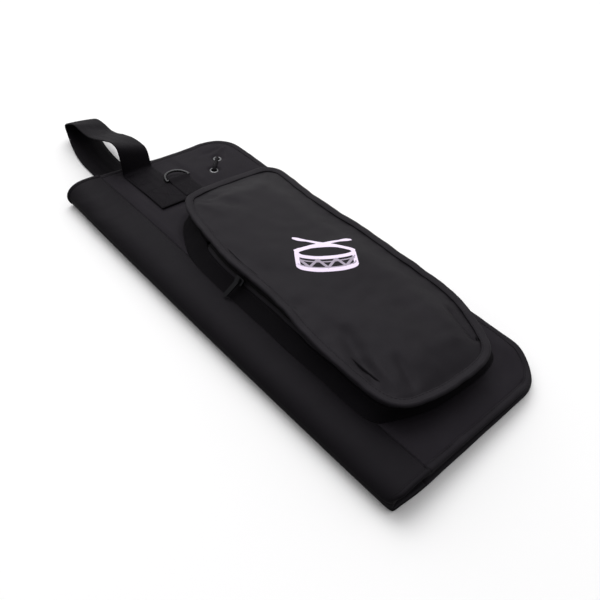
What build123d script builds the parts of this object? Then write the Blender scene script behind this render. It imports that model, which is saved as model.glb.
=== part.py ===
from build123d import *
import math
import os

os.makedirs("parts", exist_ok=True)

# ---------------------------------------------------------------------------
# Drum stick bag, closed and lying on its back.  Millimetres, +Z up.
# Origin: centre of the bag's rest rectangle, on the flat underside of the back
# half.  -X is the folded spine, +X the zipped opening edge, +Y the handle end.
# ---------------------------------------------------------------------------
BAG_L = 480.0            # body length along Y
BAG_HALF_W = 104.0       # half the body width along X
CORNER_R = 38.0          # rounded corners on the opening side
SPINE_CORNER_R = 3.0     # nearly square corners at the spine
Z_SPINE = 25.2           # outer face of the front half at the spine
Z_EDGE = 11.7            # outer face of the front half at the opening edge

T_CLOTH = 0.8            # outer pack cloth
T_FOAM = 2.0             # foam sheet
T_LINING = 0.6           # lining cloth
T_SLAB = T_CLOTH + T_FOAM + T_LINING
FLANGE = 8.8             # width of the bound edge
FLANGE_T = 2.4           # thickness of the bound edge
SPINE_EDGE = -103.7      # where the padded halves stop at the spine
SEAM_X = -64.5           # seam between the spine strip and each panel

ZIP_OFF = 9.6            # zipper wall, inward from the edge
ZIP_T = 0.8
COIL_T = 2.2
COIL_H = 1.05
ZIP_START_X = -96.0

SLOPE = math.degrees(math.atan((Z_SPINE - Z_EDGE) / (2 * BAG_HALF_W)))
MID_SPINE = (T_SLAB + Z_SPINE - T_SLAB) / 2          # mid plane at the spine
MID_EDGE = (T_SLAB + Z_EDGE - T_SLAB) / 2            # mid plane at the opening edge
MID_SLOPE = math.degrees(math.atan((MID_SPINE - MID_EDGE) / (2 * BAG_HALF_W)))

# accessory pocket, in the front half's own tilted frame (w up from its face)
POCKET_BASE = [(-70, -208), (84, -208), (84, 124), (-46, 124), (-70, 30)]
POCKET_TOP = [(-52, -204), (80, -204), (80, 114), (-30, 114), (-52, 28)]
POCKET_R = [20, 20, 16, 30, 60]
POCKET_H = 24.0
GUSSET_T = 1.0
LID_T = 1.2
LID_FLANGE = 7.0
LID_GROOVE = 0.8
PZ_TAPE_LO = 12.0        # zipper tape, coil and tape again up the pocket wall
PZ_COIL_LO = 15.0
PZ_SPLIT_LO = 16.2
PZ_SPLIT_HI = 16.5
PZ_COIL_HI = 17.7
PZ_TAPE_HI = 20.5
PZ_END_Y = 59.0
PZ_END_X = 70.0
PULL_Y = -3.0

# webbing handle
WEB_W = 38.0
WEB_T = 1.4
HANDLE_X0 = -43.0
BACK_LEG_X0 = -56.0
HANDLE_SPLIT_Y = 240.4
LEG_Y0 = 145.0

# D-ring
D_X = 2.5
D_Y = 184.0
D_R = 14.2
D_WIRE = 1.5
D_W = 2.9
TAB_HALF = 12.3

# grommets and the cord that runs through them
GROMMETS = [(47.0, 177.0), (66.0, 196.0)]
GROM_R = 5.45
GROM_BORE = 2.5
GROM_BARREL = 3.1
CORD_D = 4.0

# main zipper sliders
SLIDER_Y = (-32.0, -46.0)


def export(name, shape):
    export_step(shape, "parts/" + name + ".step")


def box(x0, x1, y0, y1, z0, z1):
    return Pos((x0 + x1) / 2, (y0 + y1) / 2, (z0 + z1) / 2) * Box(x1 - x0, y1 - y0, z1 - z0)


def outline(d, x0=SPINE_EDGE):
    """Face of one half, moved in by d on the three free edges."""
    y = BAG_L / 2 - d
    x1 = BAG_HALF_W - d
    face = Pos((x0 + x1) / 2, 0) * Rectangle(x1 - x0, 2 * y)
    far = [v for v in face.vertices() if v.X > 0]
    face = fillet(far, CORNER_R - d)
    near = [v for v in face.vertices() if v.X < x0 + 0.01]
    return fillet(near, SPINE_CORNER_R if d < 1 else 2.0)


def slab(d, z0, z1, x0=SPINE_EDGE):
    return Pos(0, 0, z0) * extrude(outline(d, x0), z1 - z0)


def ring(d0, d1, z0, z1):
    return slab(d0, z0, z1) - slab(d1, z0 - 1, z1 + 1)


# the front half's frame: tilted about the spine so that the bag is a wedge
FRONT = Pos(-BAG_HALF_W, 0, Z_SPINE) * Rot(0, SLOPE, 0) * Pos(BAG_HALF_W, 0, 0)


def below_mid(shift):
    """Everything under the mid plane between the halves, moved up by shift."""
    return Pos(-BAG_HALF_W, 0, MID_SPINE + shift) * Rot(0, MID_SLOPE, 0) * Pos(BAG_HALF_W, 0, -30) * Box(700, 700, 60)


def above_mid(shift):
    return Pos(-BAG_HALF_W, 0, MID_SPINE + shift) * Rot(0, MID_SLOPE, 0) * Pos(BAG_HALF_W, 0, 30) * Box(700, 700, 60)


def mid_z(x):
    return MID_SPINE + (MID_EDGE - MID_SPINE) * (x + BAG_HALF_W) / (2 * BAG_HALF_W)


def front_z(x):
    return Z_SPINE + (Z_EDGE - Z_SPINE) * (x + BAG_HALF_W) / (2 * BAG_HALF_W)


# ------------------------------------------------------------- padded halves
def cloth_layer(spine_side):
    """Outer cloth of a half lying at z = 0 face down: it steps up into the
    bound edge, 1 mm short of the tape's fold."""
    inner = slab(FLANGE, 0, T_CLOTH)
    rim = ring(1.0, FLANGE + 0.5, 0.6, 0.6 + T_CLOTH)
    both = inner + rim
    cut = box(-200, SEAM_X, -400, 400, -5, 5)
    return both & cut if spine_side else both - cut


def binding_layer():
    b = ring(0, FLANGE, 0, FLANGE_T)
    return b - cloth_layer(True) - cloth_layer(False)


def foam_layer():
    return slab(FLANGE + 0.5, T_CLOTH, T_CLOTH + T_FOAM)


def lining_layer():
    return slab(FLANGE + 0.5, T_CLOTH + T_FOAM, T_SLAB)


FLIP = Rot(180, 0, 0)     # turns a back layer into a front layer, y to -y

# back leg of the handle lies pressed into the underside of the back half
back_leg = box(BACK_LEG_X0, BACK_LEG_X0 + WEB_W, LEG_Y0, BAG_L / 2, 0, WEB_T)

export("back_outer_cloth", cloth_layer(False) - back_leg)
export("back_spine_strip", cloth_layer(True))
export("back_foam", foam_layer() - back_leg)
export("back_lining", lining_layer())
export("back_binding", binding_layer() - back_leg)
export("handle_back_leg", back_leg)

holes = None
for gx, gy in GROMMETS:
    c = Pos(gx, gy, -2) * Cylinder(GROM_BARREL, 20)
    holes = c if holes is None else holes + c

export("front_outer_cloth", FRONT * ((FLIP * cloth_layer(False)) - holes))
export("front_spine_strip", FRONT * (FLIP * cloth_layer(True)))
export("front_foam", FRONT * ((FLIP * foam_layer()) - holes))
export("front_lining", FRONT * ((FLIP * lining_layer()) - holes))
export("front_binding", FRONT * (FLIP * binding_layer()))

# ---------------------------------------------------------------- spine wall
SP_Z0, SP_Z1 = 3.9, 21.2
export("spine_wall", box(-104.0, -103.2, -239, 239, SP_Z0, SP_Z1))
export("spine_foam", box(-103.2, -101.2, -236, 236, SP_Z0, SP_Z1))
export("spine_lining", box(-101.2, -100.6, -236, 236, SP_Z0, SP_Z1))

# ------------------------------------------------------------- main zipper
past_start = box(ZIP_START_X, 300, -400, 400, -50, 100)
tape_ring = ring(ZIP_OFF, ZIP_OFF + ZIP_T, T_SLAB, 40) & past_start
coil_mid = ZIP_OFF + ZIP_T / 2
coil_ring = ring(coil_mid - COIL_T / 2, coil_mid + COIL_T / 2, T_SLAB, 40) & past_start
under_front = FRONT * (Pos(0, 0, -T_SLAB - 40) * Box(700, 700, 80))

export("main_zip_tape_back", tape_ring & below_mid(-0.15 - COIL_H))
export("main_zip_coil_back", (coil_ring & below_mid(-0.15)) - below_mid(-0.15 - COIL_H))
export("main_zip_coil_front", (coil_ring & above_mid(0.15)) - above_mid(0.15 + COIL_H))
export("main_zip_tape_front", (tape_ring & above_mid(0.15 + COIL_H)) & under_front)

# ------------------------------------------------------------ stick sleeves
SL_X0, SL_X1 = -60.0, 76.0
SL_Y0 = -222.0
BACK_SL_Y1 = 150.0
FRONT_SL_Y1 = 70.0
SL_T = 0.8


def sleeve_block(x0, x1, y0, y1, shift):
    return box(x0, x1, y0, y1, T_SLAB, 60) & below_mid(shift)


back_sleeve = sleeve_block(SL_X0, SL_X1, SL_Y0, BACK_SL_Y1, -1.2) - \
    sleeve_block(SL_X0 + SL_T, SL_X1 - SL_T, SL_Y0 + SL_T, BACK_SL_Y1 + 20, -1.2 - SL_T)
export("back_stick_sleeve", back_sleeve)
export("back_sleeve_hem", sleeve_block(SL_X0, SL_X1, BACK_SL_Y1 - 10, BACK_SL_Y1, -0.5) -
       sleeve_block(SL_X0 - 1, SL_X1 + 1, BACK_SL_Y1 - 20, BACK_SL_Y1 + 20, -1.2))


def sleeve_block_f(x0, x1, y0, y1, shift):
    return (box(x0, x1, y0, y1, 0, 60) & above_mid(shift)) & under_front


front_sleeve = sleeve_block_f(SL_X0, SL_X1, SL_Y0, FRONT_SL_Y1, 1.2) - \
    sleeve_block_f(SL_X0 + SL_T, SL_X1 - SL_T, SL_Y0 + SL_T, FRONT_SL_Y1 + 20, 1.2 + SL_T)
export("front_stick_sleeve", front_sleeve)
export("front_sleeve_hem", sleeve_block_f(SL_X0, SL_X1, FRONT_SL_Y1 - 10, FRONT_SL_Y1, 0.5) -
       sleeve_block_f(SL_X0 - 1, SL_X1 + 1, FRONT_SL_Y1 - 20, FRONT_SL_Y1 + 20, 1.2))

# --------------------------------------------------------- accessory pocket
def pocket_outline(w, d):
    """Closed outline of the pocket wall at height w, moved in by d."""
    k = w / POCKET_H
    pts = [(a[0] + (b[0] - a[0]) * k, a[1] + (b[1] - a[1]) * k) for a, b in zip(POCKET_BASE, POCKET_TOP)]
    n = len(pts)
    moved = []
    for i in range(n):
        p0, p1, p2 = pts[i - 1], pts[i], pts[(i + 1) % n]
        d1 = (p1[0] - p0[0], p1[1] - p0[1])
        d2 = (p2[0] - p1[0], p2[1] - p1[1])
        l1, l2 = math.hypot(*d1), math.hypot(*d2)
        n1 = (-d1[1] / l1, d1[0] / l1)
        n2 = (-d2[1] / l2, d2[0] / l2)
        s = 1 + n1[0] * n2[0] + n1[1] * n2[1]
        moved.append((p1[0] + d * (n1[0] + n2[0]) / s, p1[1] + d * (n1[1] + n2[1]) / s))
    wire = Polyline(*[(x, y, w) for x, y in moved], close=True)
    face = make_face(wire)
    for (x, y), r in zip(moved, POCKET_R):
        v = min(face.vertices(), key=lambda q: (q.X - x) ** 2 + (q.Y - y) ** 2)
        face = fillet(v, r - d)
    return face


def pocket_block(w0, w1, d):
    return loft([pocket_outline(w0, d), pocket_outline(w1, d)], ruled=True)


def pocket_ring(w0, w1, d0, d1):
    return pocket_block(w0, w1, d0) - pocket_block(w0, w1, d1)


zip_zone = box(-200, PZ_END_X, -400, PZ_END_Y, -5, 60)

gusset = pocket_ring(0, PZ_TAPE_LO, 0, GUSSET_T) + (pocket_ring(PZ_TAPE_LO, PZ_SPLIT_LO, 0, GUSSET_T) - zip_zone)
export("pocket_gusset", FRONT * gusset)
export("pocket_zip_tape_lower", FRONT * (pocket_ring(PZ_TAPE_LO, PZ_COIL_LO, 0, GUSSET_T) & zip_zone))
export("pocket_zip_coil_lower", FRONT * (pocket_ring(PZ_COIL_LO, PZ_SPLIT_LO, -0.6, GUSSET_T) & zip_zone))
export("pocket_zip_coil_upper", FRONT * (pocket_ring(PZ_SPLIT_HI, PZ_COIL_HI, -0.6, GUSSET_T) & zip_zone))
export("pocket_zip_tape_upper", FRONT * (pocket_ring(PZ_COIL_HI, PZ_TAPE_HI, 0, GUSSET_T) & zip_zone))
gusset_up = (pocket_ring(PZ_SPLIT_HI, PZ_TAPE_HI, 0, GUSSET_T) - zip_zone) + pocket_ring(PZ_TAPE_HI, POCKET_H, 0, GUSSET_T)
export("pocket_gusset_upper", FRONT * gusset_up)


def lid_face(d):
    return pocket_outline(POCKET_H, d)


lid = extrude(lid_face(-LID_FLANGE + 1.0), LID_T)
export("pocket_lid", FRONT * lid)
lid_bind = (Pos(0, 0, -0.6) * extrude(lid_face(-LID_FLANGE), LID_T + 1.2)) - \
    (Pos(0, 0, -2) * extrude(lid_face(-0.6), 6)) - lid
export("pocket_lid_binding", FRONT * lid_bind)

# pocket slider and pull, on the leaning near wall
lean = math.atan2(POCKET_TOP[0][0] - POCKET_BASE[0][0], POCKET_H)    # from the vertical
wz = (PZ_SPLIT_LO + PZ_SPLIT_HI) / 2
wx = POCKET_BASE[0][0] + (POCKET_TOP[0][0] - POCKET_BASE[0][0]) * wz / POCKET_H
# wall frame: local x = outward normal, local y = -Y of the bag, local z = up the wall
WALL = Pos(wx, PULL_Y, wz) * Rot(0, math.degrees(lean), 0) * Rot(0, 0, 180)
PS_IN, PS_OUT = 0.9, 3.2
slider = Pos((PS_IN + PS_OUT) / 2, 0, 0) * Box(PS_OUT - PS_IN, 10.5, 6.6)
slider = fillet(slider.edges().filter_by(Axis.X), 1.6)
post = Pos(PS_OUT + 1.0, 0, 0) * Rot(0, 90, 0) * Cylinder(1.1, 2.2)
head = Pos(PS_OUT + 2.3, 0, 0) * Rot(0, 90, 0) * Cylinder(1.9, 0.6)
pocket_slider = slider + post + head
export("pocket_slider", FRONT * WALL * pocket_slider)
PULL_L = 20.0
PULL_TILT = 12.0
eye = Rot(0, 90, 0) * Cylinder(2.5, 1.4)
tab = Pos(0, 0, -PULL_L / 2) * Box(1.4, 4.6, PULL_L)
tab = fillet(tab.edges().filter_by(Axis.X), 1.2)
pull = (eye + tab) - Rot(0, 90, 0) * Cylinder(1.18, 6)
pull = Pos(PS_OUT + 1.05, 0, 0) * Rot(-PULL_TILT, 0, 0) * pull
export("pocket_pull", FRONT * WALL * pull)

# ------------------------------------------------------------ webbing handle
def band(stations):
    """Flat strap through stations (y, z, ny, nz, x0): centre, normal, low x."""
    solid = None
    faces = []
    for y, z, ny, nz, x0 in stations:
        h = WEB_T / 2
        pts = [(x0, y - ny * h, z - nz * h), (x0 + WEB_W, y - ny * h, z - nz * h),
               (x0 + WEB_W, y + ny * h, z + nz * h), (x0, y + ny * h, z + nz * h)]
        faces.append(make_face(Polyline(*pts, close=True)))
    for a, b in zip(faces, faces[1:]):
        piece = loft([a, b], ruled=True)
        solid = piece if solid is None else solid + piece
    return solid


def stations(path, n0=None, n1=None):
    out = []
    for i, (y, z, x0) in enumerate(path):
        a = path[max(i - 1, 0)]
        b = path[min(i + 1, len(path) - 1)]
        ty, tz = b[0] - a[0], b[1] - a[1]
        l = math.hypot(ty, tz)
        ny, nz = -tz / l, ty / l
        if i == 0 and n0:
            ny, nz = n0
        if i == len(path) - 1 and n1:
            ny, nz = n1
        out.append((y, z, ny, nz, x0))
    return out


HX = HANDLE_X0
leg_z = front_z(HX + WEB_W / 2)
# front leg: sewn flat on the tilted front, then standing up off it
sewn = FRONT * box(HX, HX + WEB_W, LEG_Y0, 224.0, 0, WEB_T)
rise_path = [(224.0, leg_z + 2.4, HX), (228.6, leg_z + 5.4, HX), (230.2, 33.0, HX), (231.6, 40.5, HX),
             (234.4, 46.4, HX), (237.9, 49.0, HX), (240.0, 49.6, HX)]
rise = band(stations(rise_path, n0=(0, 1), n1=(0, 1)))
foot = FRONT * box(HX, HX + WEB_W, 216.0, 224.0, WEB_T, 3.1)
export("handle_front_leg", sewn + foot + (rise - FRONT * box(-150, 150, 100, 300, -20, 0)))

loop_path = [(HANDLE_SPLIT_Y, 49.6, HX), (248.0, 49.6, HX), (258.0, 48.2, HX), (270.0, 44.2, HX), (286.0, 37.6, HX),
             (302.0, 32.2, HX), (318.0, 29.8, HX), (334.0, 28.4, HX), (347.0, 25.4, HX), (355.0, 20.4, HX + 0.5),
             (357.4, 14.8, HX + 1), (354.0, 9.6, HX + 0.5), (346.0, 6.4, HX - 2), (332.0, 4.4, HX - 6),
             (314.0, 3.2, HX - 10), (296.0, 2.4, HX - 12.4), (276.0, 1.6, HX - 13), (256.0, 0.9, HX - 13),
             (HANDLE_SPLIT_Y, 0.7, HX - 13)]
export("handle_loop", band(stations(loop_path, n0=(0, 1), n1=(0, -1))))

# ------------------------------------------------------------------- D-ring
tab_low = box(HANDLE_X0 + WEB_W + 0.3, D_X + TAB_HALF, 150, D_Y, 0, WEB_T)
tab_up = box(D_X - TAB_HALF, D_X + TAB_HALF, 150, D_Y, WEB_T, 2 * WEB_T)
loop_out = Pos(D_X, D_Y, D_W) * Rot(0, 90, 0) * Cylinder(2.9, 2 * TAB_HALF)
loop_in = Pos(D_X, D_Y, D_W) * Rot(0, 90, 0) * Cylinder(D_WIRE + 0.08, 2 * TAB_HALF + 2)
over_leg = box(-60, HANDLE_X0 + WEB_W + 0.3, 100, 300, -1, WEB_T)
export("d_ring_tab", FRONT * ((tab_low + tab_up + loop_out) - loop_in - over_leg))
half_torus = (Pos(D_X, D_Y, D_W) * Torus(D_R, D_WIRE)) & box(-60, 60, D_Y, D_Y + 40, -20, 20)
bar = Pos(D_X, D_Y, D_W) * Rot(0, 90, 0) * Cylinder(D_WIRE, 2 * D_R)
ends = Pos(D_X - D_R, D_Y, D_W) * Sphere(D_WIRE) + Pos(D_X + D_R, D_Y, D_W) * Sphere(D_WIRE)
export("d_ring", FRONT * (half_torus + bar + ends))

# ------------------------------------------------------ grommets and cord
grommets = []
washers = []
knots = []
for gx, gy in GROMMETS:
    flange = Pos(gx, gy, 0.35) * Cylinder(GROM_R, 0.7)
    flange = chamfer(flange.edges().filter_by(GeomType.CIRCLE).sort_by(Axis.Z)[-1], 0.4)
    barrel = Pos(gx, gy, (-T_SLAB - 0.8) / 2) * Cylinder(GROM_BARREL, T_SLAB + 0.8)
    g = (flange + barrel) - Pos(gx, gy, 0) * Cylinder(GROM_BORE, 30)
    grommets.append(g)
    w = Pos(gx, gy, -T_SLAB - 0.35) * Cylinder(GROM_R, 0.7) - Pos(gx, gy, 0) * Cylinder(GROM_BARREL, 30)
    washers.append(w)
    knots.append(Pos(gx, gy, -T_SLAB - 2.9) * Cylinder(4.2, 3.6))
export("grommets", FRONT * Compound(children=grommets))
export("grommet_washers", FRONT * Compound(children=washers))

(g1x, g1y), (g2x, g2y) = GROMMETS
CORD_LOW = -T_SLAB - 1.1
CORD_TOP = 3.5
cord_path = FilletPolyline((g1x, g1y, CORD_LOW), (g1x, g1y, CORD_TOP), (g2x, g2y, CORD_TOP), (g2x, g2y, CORD_LOW),
                           radius=3.3)
cord = sweep(Plane(origin=(g1x, g1y, CORD_LOW), z_dir=(0, 0, 1)) * Circle(CORD_D / 2), path=cord_path)
print("cord length", round(cord_path.length, 2), "volume", round(cord.volume, 1),
      "section x length", round(math.pi * CORD_D ** 2 / 4 * cord_path.length, 1))
export("hanging_cord", FRONT * cord)
export("cord_knots", FRONT * Compound(children=knots))

# ---------------------------------------------------- main zipper sliders
SX = BAG_HALF_W - coil_mid + COIL_T / 2 + 0.35
for tag, sy, way in (("handle_end", SLIDER_Y[0], 1), ("foot_end", SLIDER_Y[1], -1)):
    zc = mid_z(SX + 1.2) + 0.05
    body = Pos(SX + 1.2, sy, zc) * Box(2.4, 11.0, 5.4)
    body = fillet(body.edges().filter_by(Axis.X), 1.6)
    ear1 = box(SX + 2.0, SX + 6.0, sy - 2, sy + 2, zc + 1.9, zc + 2.6)
    ear2 = box(SX + 2.0, SX + 6.0, sy - 2, sy + 2, zc - 2.6, zc - 1.9)
    px = SX + 4.7
    pin = Pos(px, sy, zc) * Cylinder(0.8, 4.4)
    export("main_slider_" + tag, body + ear1 + ear2 + pin)
    e = Pos(px, sy, zc) * Cylinder(1.8, 3.4)
    t = box(px - 0.8, px + 0.8, min(sy, sy + way * 22), max(sy, sy + way * 22), zc - 1.7, zc + 1.7)
    export("main_pull_" + tag, (e + t) - Pos(px, sy, zc) * Cylinder(0.88, 10))
    print("slider", tag, "pin x", round(px, 3), "z", round(zc, 3))

# frame facts that the joints use
def to_world(x, y, w):
    s, c = math.sin(math.radians(SLOPE)), math.cos(math.radians(SLOPE))
    u = x + BAG_HALF_W
    return (-BAG_HALF_W + u * c + w * s, y, Z_SPINE - u * s + w * c)


print("slope", round(SLOPE, 4), "mid slope", round(MID_SLOPE, 4))
print("d ring axis", [round(v, 3) for v in to_world(D_X, D_Y, D_W)])
print("lid hinge", [round(v, 3) for v in to_world(80.9, 0, 16.35)])
nx, nz = -math.cos(lean), math.sin(lean)
px, pz = wx + nx * (PS_OUT + 1.05), wz + nz * (PS_OUT + 1.05)
print("pull pivot", [round(v, 3) for v in to_world(px, PULL_Y, pz)])
a = to_world(0, 0, 0)
b = to_world(nx, 0, nz)
print("pull axis", [round(q - p, 5) for p, q in zip(a, b)])
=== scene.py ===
import math
import bpy
import bmesh
import numpy as np
from mathutils import Vector, Matrix, noise
from mathutils.geometry import delaunay_2d_cdt


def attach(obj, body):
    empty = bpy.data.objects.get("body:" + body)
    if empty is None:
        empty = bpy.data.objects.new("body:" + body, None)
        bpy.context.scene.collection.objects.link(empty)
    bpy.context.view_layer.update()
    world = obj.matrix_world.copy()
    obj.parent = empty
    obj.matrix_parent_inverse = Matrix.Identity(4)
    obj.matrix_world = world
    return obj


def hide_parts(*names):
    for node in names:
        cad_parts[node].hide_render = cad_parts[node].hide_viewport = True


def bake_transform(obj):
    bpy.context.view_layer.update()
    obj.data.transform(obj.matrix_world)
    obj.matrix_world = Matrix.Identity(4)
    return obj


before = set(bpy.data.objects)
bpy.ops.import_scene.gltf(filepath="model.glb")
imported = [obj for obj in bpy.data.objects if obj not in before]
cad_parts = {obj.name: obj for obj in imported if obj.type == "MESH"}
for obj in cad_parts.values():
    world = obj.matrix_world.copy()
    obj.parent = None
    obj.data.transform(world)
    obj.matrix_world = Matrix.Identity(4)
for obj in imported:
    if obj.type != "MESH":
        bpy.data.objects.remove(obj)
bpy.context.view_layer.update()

MM = 0.001
SLOPE = math.radians(3.7135)
CS, SN = math.cos(SLOPE), math.sin(SLOPE)
scene = bpy.context.scene


# ------------------------------------------------------------------ frames
def F(p):
    """Front half's tilted local frame (x, y, w) to the row frame, millimetres."""
    p = np.asarray(p, float)
    u = p[..., 0] + 104.0
    out = np.empty_like(p)
    out[..., 0] = -104.0 + u * CS + p[..., 2] * SN
    out[..., 1] = p[..., 1]
    out[..., 2] = 25.2 - u * SN + p[..., 2] * CS
    return out


def smooth(a, b, x):
    t = np.clip((np.asarray(x, float) - a) / (b - a), 0, 1)
    return t * t * (3 - 2 * t)


def vnoise(P, scale, seed=0.0):
    P = np.asarray(P, float)
    flat = P.reshape(-1, P.shape[-1]) / scale
    if flat.shape[1] == 2:
        flat = np.column_stack([flat, np.zeros(len(flat))])
    out = np.array([noise.noise(Vector((a + seed, b - seed * 0.7, c + seed * 1.3))) for a, b, c in flat])
    return out.reshape(P.shape[:-1])


def mid_z(x):
    return 12.6 + (5.85 - 12.6) * (np.asarray(x, float) + 104) / 208


def droop(P):
    """The front half sags at the handle end, most about two thirds across."""
    P = np.array(P, float)
    x, y = P[..., 0], P[..., 1]
    dz = np.interp(x, [-104, -84, -67, -30, 8, 30, 57, 76, 104], [0, -0.5, -1.2, -2.8, -3.9, -4.3, -4.3, -3.0, 0.0])
    dy = np.interp(x, [-104, -67, -30, 8, 57, 76, 104], [0, 0, -0.6, -1.7, -1.7, -1.0, 0])
    P[..., 2] += dz * smooth(165, 236, y)
    P[..., 1] += dy * smooth(200, 240, y)
    low = smooth(-197, -234, y) * smooth(30, 98, x)
    P[..., 2] -= 2.6 * low
    P[..., 0] -= 2.4 * smooth(-197, -224, y) * smooth(50, 98, x)
    P[..., 1] += 1.8 * low
    return P


# ------------------------------------------------------------------ mesh kit
def make(name, verts, faces, loop_uv=None, mats=(), smooth_shade=True, fix=False, midx=None):
    me = bpy.data.meshes.new(name)
    me.from_pydata((np.asarray(verts, float) * MM).tolist(), [], faces)
    if loop_uv is not None:
        lay = me.uv_layers.new(name="UVMap")
        flat = np.asarray(loop_uv, float).reshape(-1, 2) * MM
        lay.data.foreach_set("uv", flat.ravel())
    for m in mats:
        me.materials.append(m)
    if midx is not None:
        me.polygons.foreach_set("material_index", midx)
    me.update()
    if fix:
        bm = bmesh.new()
        bm.from_mesh(me)
        bmesh.ops.recalc_face_normals(bm, faces=bm.faces)
        bm.to_mesh(me)
        bm.free()
    me.polygons.foreach_set("use_smooth", [smooth_shade] * len(me.polygons))
    me.update()
    ob = bpy.data.objects.new(name, me)
    scene.collection.objects.link(ob)
    return ob


def grid(name, P, uv=None, mats=(), closed=False, flip=False, solid=0.0, rim_mat=0, inner_mat=0, caps=False, fix=False):
    """P[i][j] points. closed closes j. uv[i][j] in mm (one more column when closed)."""
    P = np.asarray(P, float)
    n, m = P.shape[:2]
    if uv is None:
        du = np.zeros(n)
        du[1:] = np.cumsum(np.linalg.norm(np.diff(P[:, m // 2], axis=0), axis=1))
        dv = np.zeros(m + 1)
        Q = np.concatenate([P[n // 2], P[n // 2][:1]]) if closed else P[n // 2]
        seg = np.linalg.norm(np.diff(Q, axis=0), axis=1)
        dv[1:len(seg) + 1] = np.cumsum(seg)
        uv = np.stack(np.meshgrid(du, dv, indexing="ij"), -1)
    faces, luv = [], []
    jn = m if closed else m - 1
    for i in range(n - 1):
        for j in range(jn):
            a, b, c, d = (i, j), (i + 1, j), (i + 1, j + 1), (i, j + 1)
            q = [a, b, c, d] if not flip else [d, c, b, a]
            faces.append([p[0] * m + p[1] % m for p in q])
            luv += [uv[p[0]][p[1]] for p in q]
    if caps and closed:
        for i, rev in ((0, False), (n - 1, True)):
            ring = [i * m + j for j in range(m)]
            if not rev:
                ring = ring[::-1]
            faces.append(ring)
            luv += [uv[i][j % m] for j in ([k for k in range(m)][::-1] if not rev else range(m))]
    ob = make(name, P.reshape(-1, 3), faces, luv, mats, fix=fix)
    if solid:
        mo = ob.modifiers.new("thickness", "SOLIDIFY")
        mo.thickness = solid * MM
        mo.offset = -1
        mo.material_offset = inner_mat
        mo.material_offset_rim = rim_mat
        mo.use_quality_normals = True
    return ob


def sweep(name, pos, inw, out, section, mats=(), closed_path=False, caps=True, post=None):
    pos, inw, out = (np.asarray(a, float) for a in (pos, inw, out))
    sec = np.asarray(section, float)
    P = pos[:, None, :] + sec[None, :, 0:1] * inw[:, None, :] + sec[None, :, 1:2] * out[:, None, :]
    if post is not None:
        P = post(P)
    n, m = P.shape[:2]
    su = np.zeros(n)
    su[1:] = np.cumsum(np.linalg.norm(np.diff(pos, axis=0), axis=1))
    sv = np.zeros(m + 1)
    sv[1:] = np.cumsum(np.linalg.norm(np.diff(np.vstack([sec, sec[:1]]), axis=0), axis=1))
    if closed_path:
        P = np.concatenate([P, P[:1]])
        su = np.append(su, su[-1] + np.linalg.norm(pos[-1] - pos[0]))
        uv = np.stack(np.meshgrid(su, sv, indexing="ij"), -1)
        faces, luv = [], []
        for i in range(n):
            for j in range(m):
                q = [(i, j), (i + 1, j), (i + 1, j + 1), (i, j + 1)]
                faces.append([(p[0] % n) * m + p[1] % m for p in q])
                luv += [uv[p[0]][p[1]] for p in q]
        return make(name, P[:-1].reshape(-1, 3), faces, luv, mats, fix=True)
    uv = np.stack(np.meshgrid(su, sv, indexing="ij"), -1)
    return grid(name, P, uv, mats, closed=True, caps=caps, fix=True)


def inside(pts, poly):
    x, y = pts[:, 0], pts[:, 1]
    res = np.zeros(len(pts), bool)
    n = len(poly)
    for i in range(n):
        x0, y0 = poly[i]
        x1, y1 = poly[(i + 1) % n]
        cond = (y0 > y) != (y1 > y)
        if y1 != y0:
            xi = (x1 - x0) * (y - y0) / (y1 - y0) + x0
            res ^= cond & (x < xi)
    return res


def seg_dist(pts, poly, closed=True):
    best = np.full(len(pts), 1e9)
    n = len(poly)
    for i in range(n if closed else n - 1):
        a = poly[i]
        b = poly[(i + 1) % n]
        ab = b - a
        t = np.clip(((pts - a) @ ab) / max(ab @ ab, 1e-9), 0, 1)
        d = np.linalg.norm(pts - (a + t[:, None] * ab), axis=1)
        best = np.minimum(best, d)
    return best


def triangulate(poly, step, holes=()):
    poly = np.asarray(poly, float)
    lo, hi = poly.min(0), poly.max(0)
    rows = []
    j = 0
    y = lo[1] + step * 0.5
    while y < hi[1]:
        xs = np.arange(lo[0] + (0.5 if j % 2 else 0.0) * step, hi[0], step)
        rows.append(np.column_stack([xs, np.full(len(xs), y)]))
        y += step * 0.866
        j += 1
    pts = np.vstack(rows)
    pts = pts[inside(pts, poly)]
    pts = pts[seg_dist(pts, poly) > step * 0.45]
    loops = [np.arange(len(poly))]
    allp = [poly]
    off = len(poly)
    for h in holes:
        h = np.asarray(h, float)
        keep = ~inside(pts, h)
        pts = pts[keep]
        pts = pts[seg_dist(pts, h) > step * 0.3]
        loops.append(np.arange(off, off + len(h)))
        allp.append(h)
        off += len(h)
    verts = np.vstack(allp + [pts])
    edges = []
    for lp in loops:
        edges += [(int(lp[k]), int(lp[(k + 1) % len(lp)])) for k in range(len(lp))]
    r = delaunay_2d_cdt([Vector(p) for p in verts], edges, [], 1, 1e-6)
    V = np.array([tuple(v) for v in r[0]])
    T = np.array([list(f) for f in r[2]])
    if holes:
        cen = V[T].mean(1)
        keep = np.ones(len(T), bool)
        for h in holes:
            keep &= ~inside(cen, np.asarray(h, float))
        T = T[keep]
    a, b, c = V[T[:, 0]], V[T[:, 1]], V[T[:, 2]]
    area = (b[:, 0] - a[:, 0]) * (c[:, 1] - a[:, 1]) - (b[:, 1] - a[:, 1]) * (c[:, 0] - a[:, 0])
    T[area < 0] = T[area < 0][:, ::-1]
    return V, T


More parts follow.
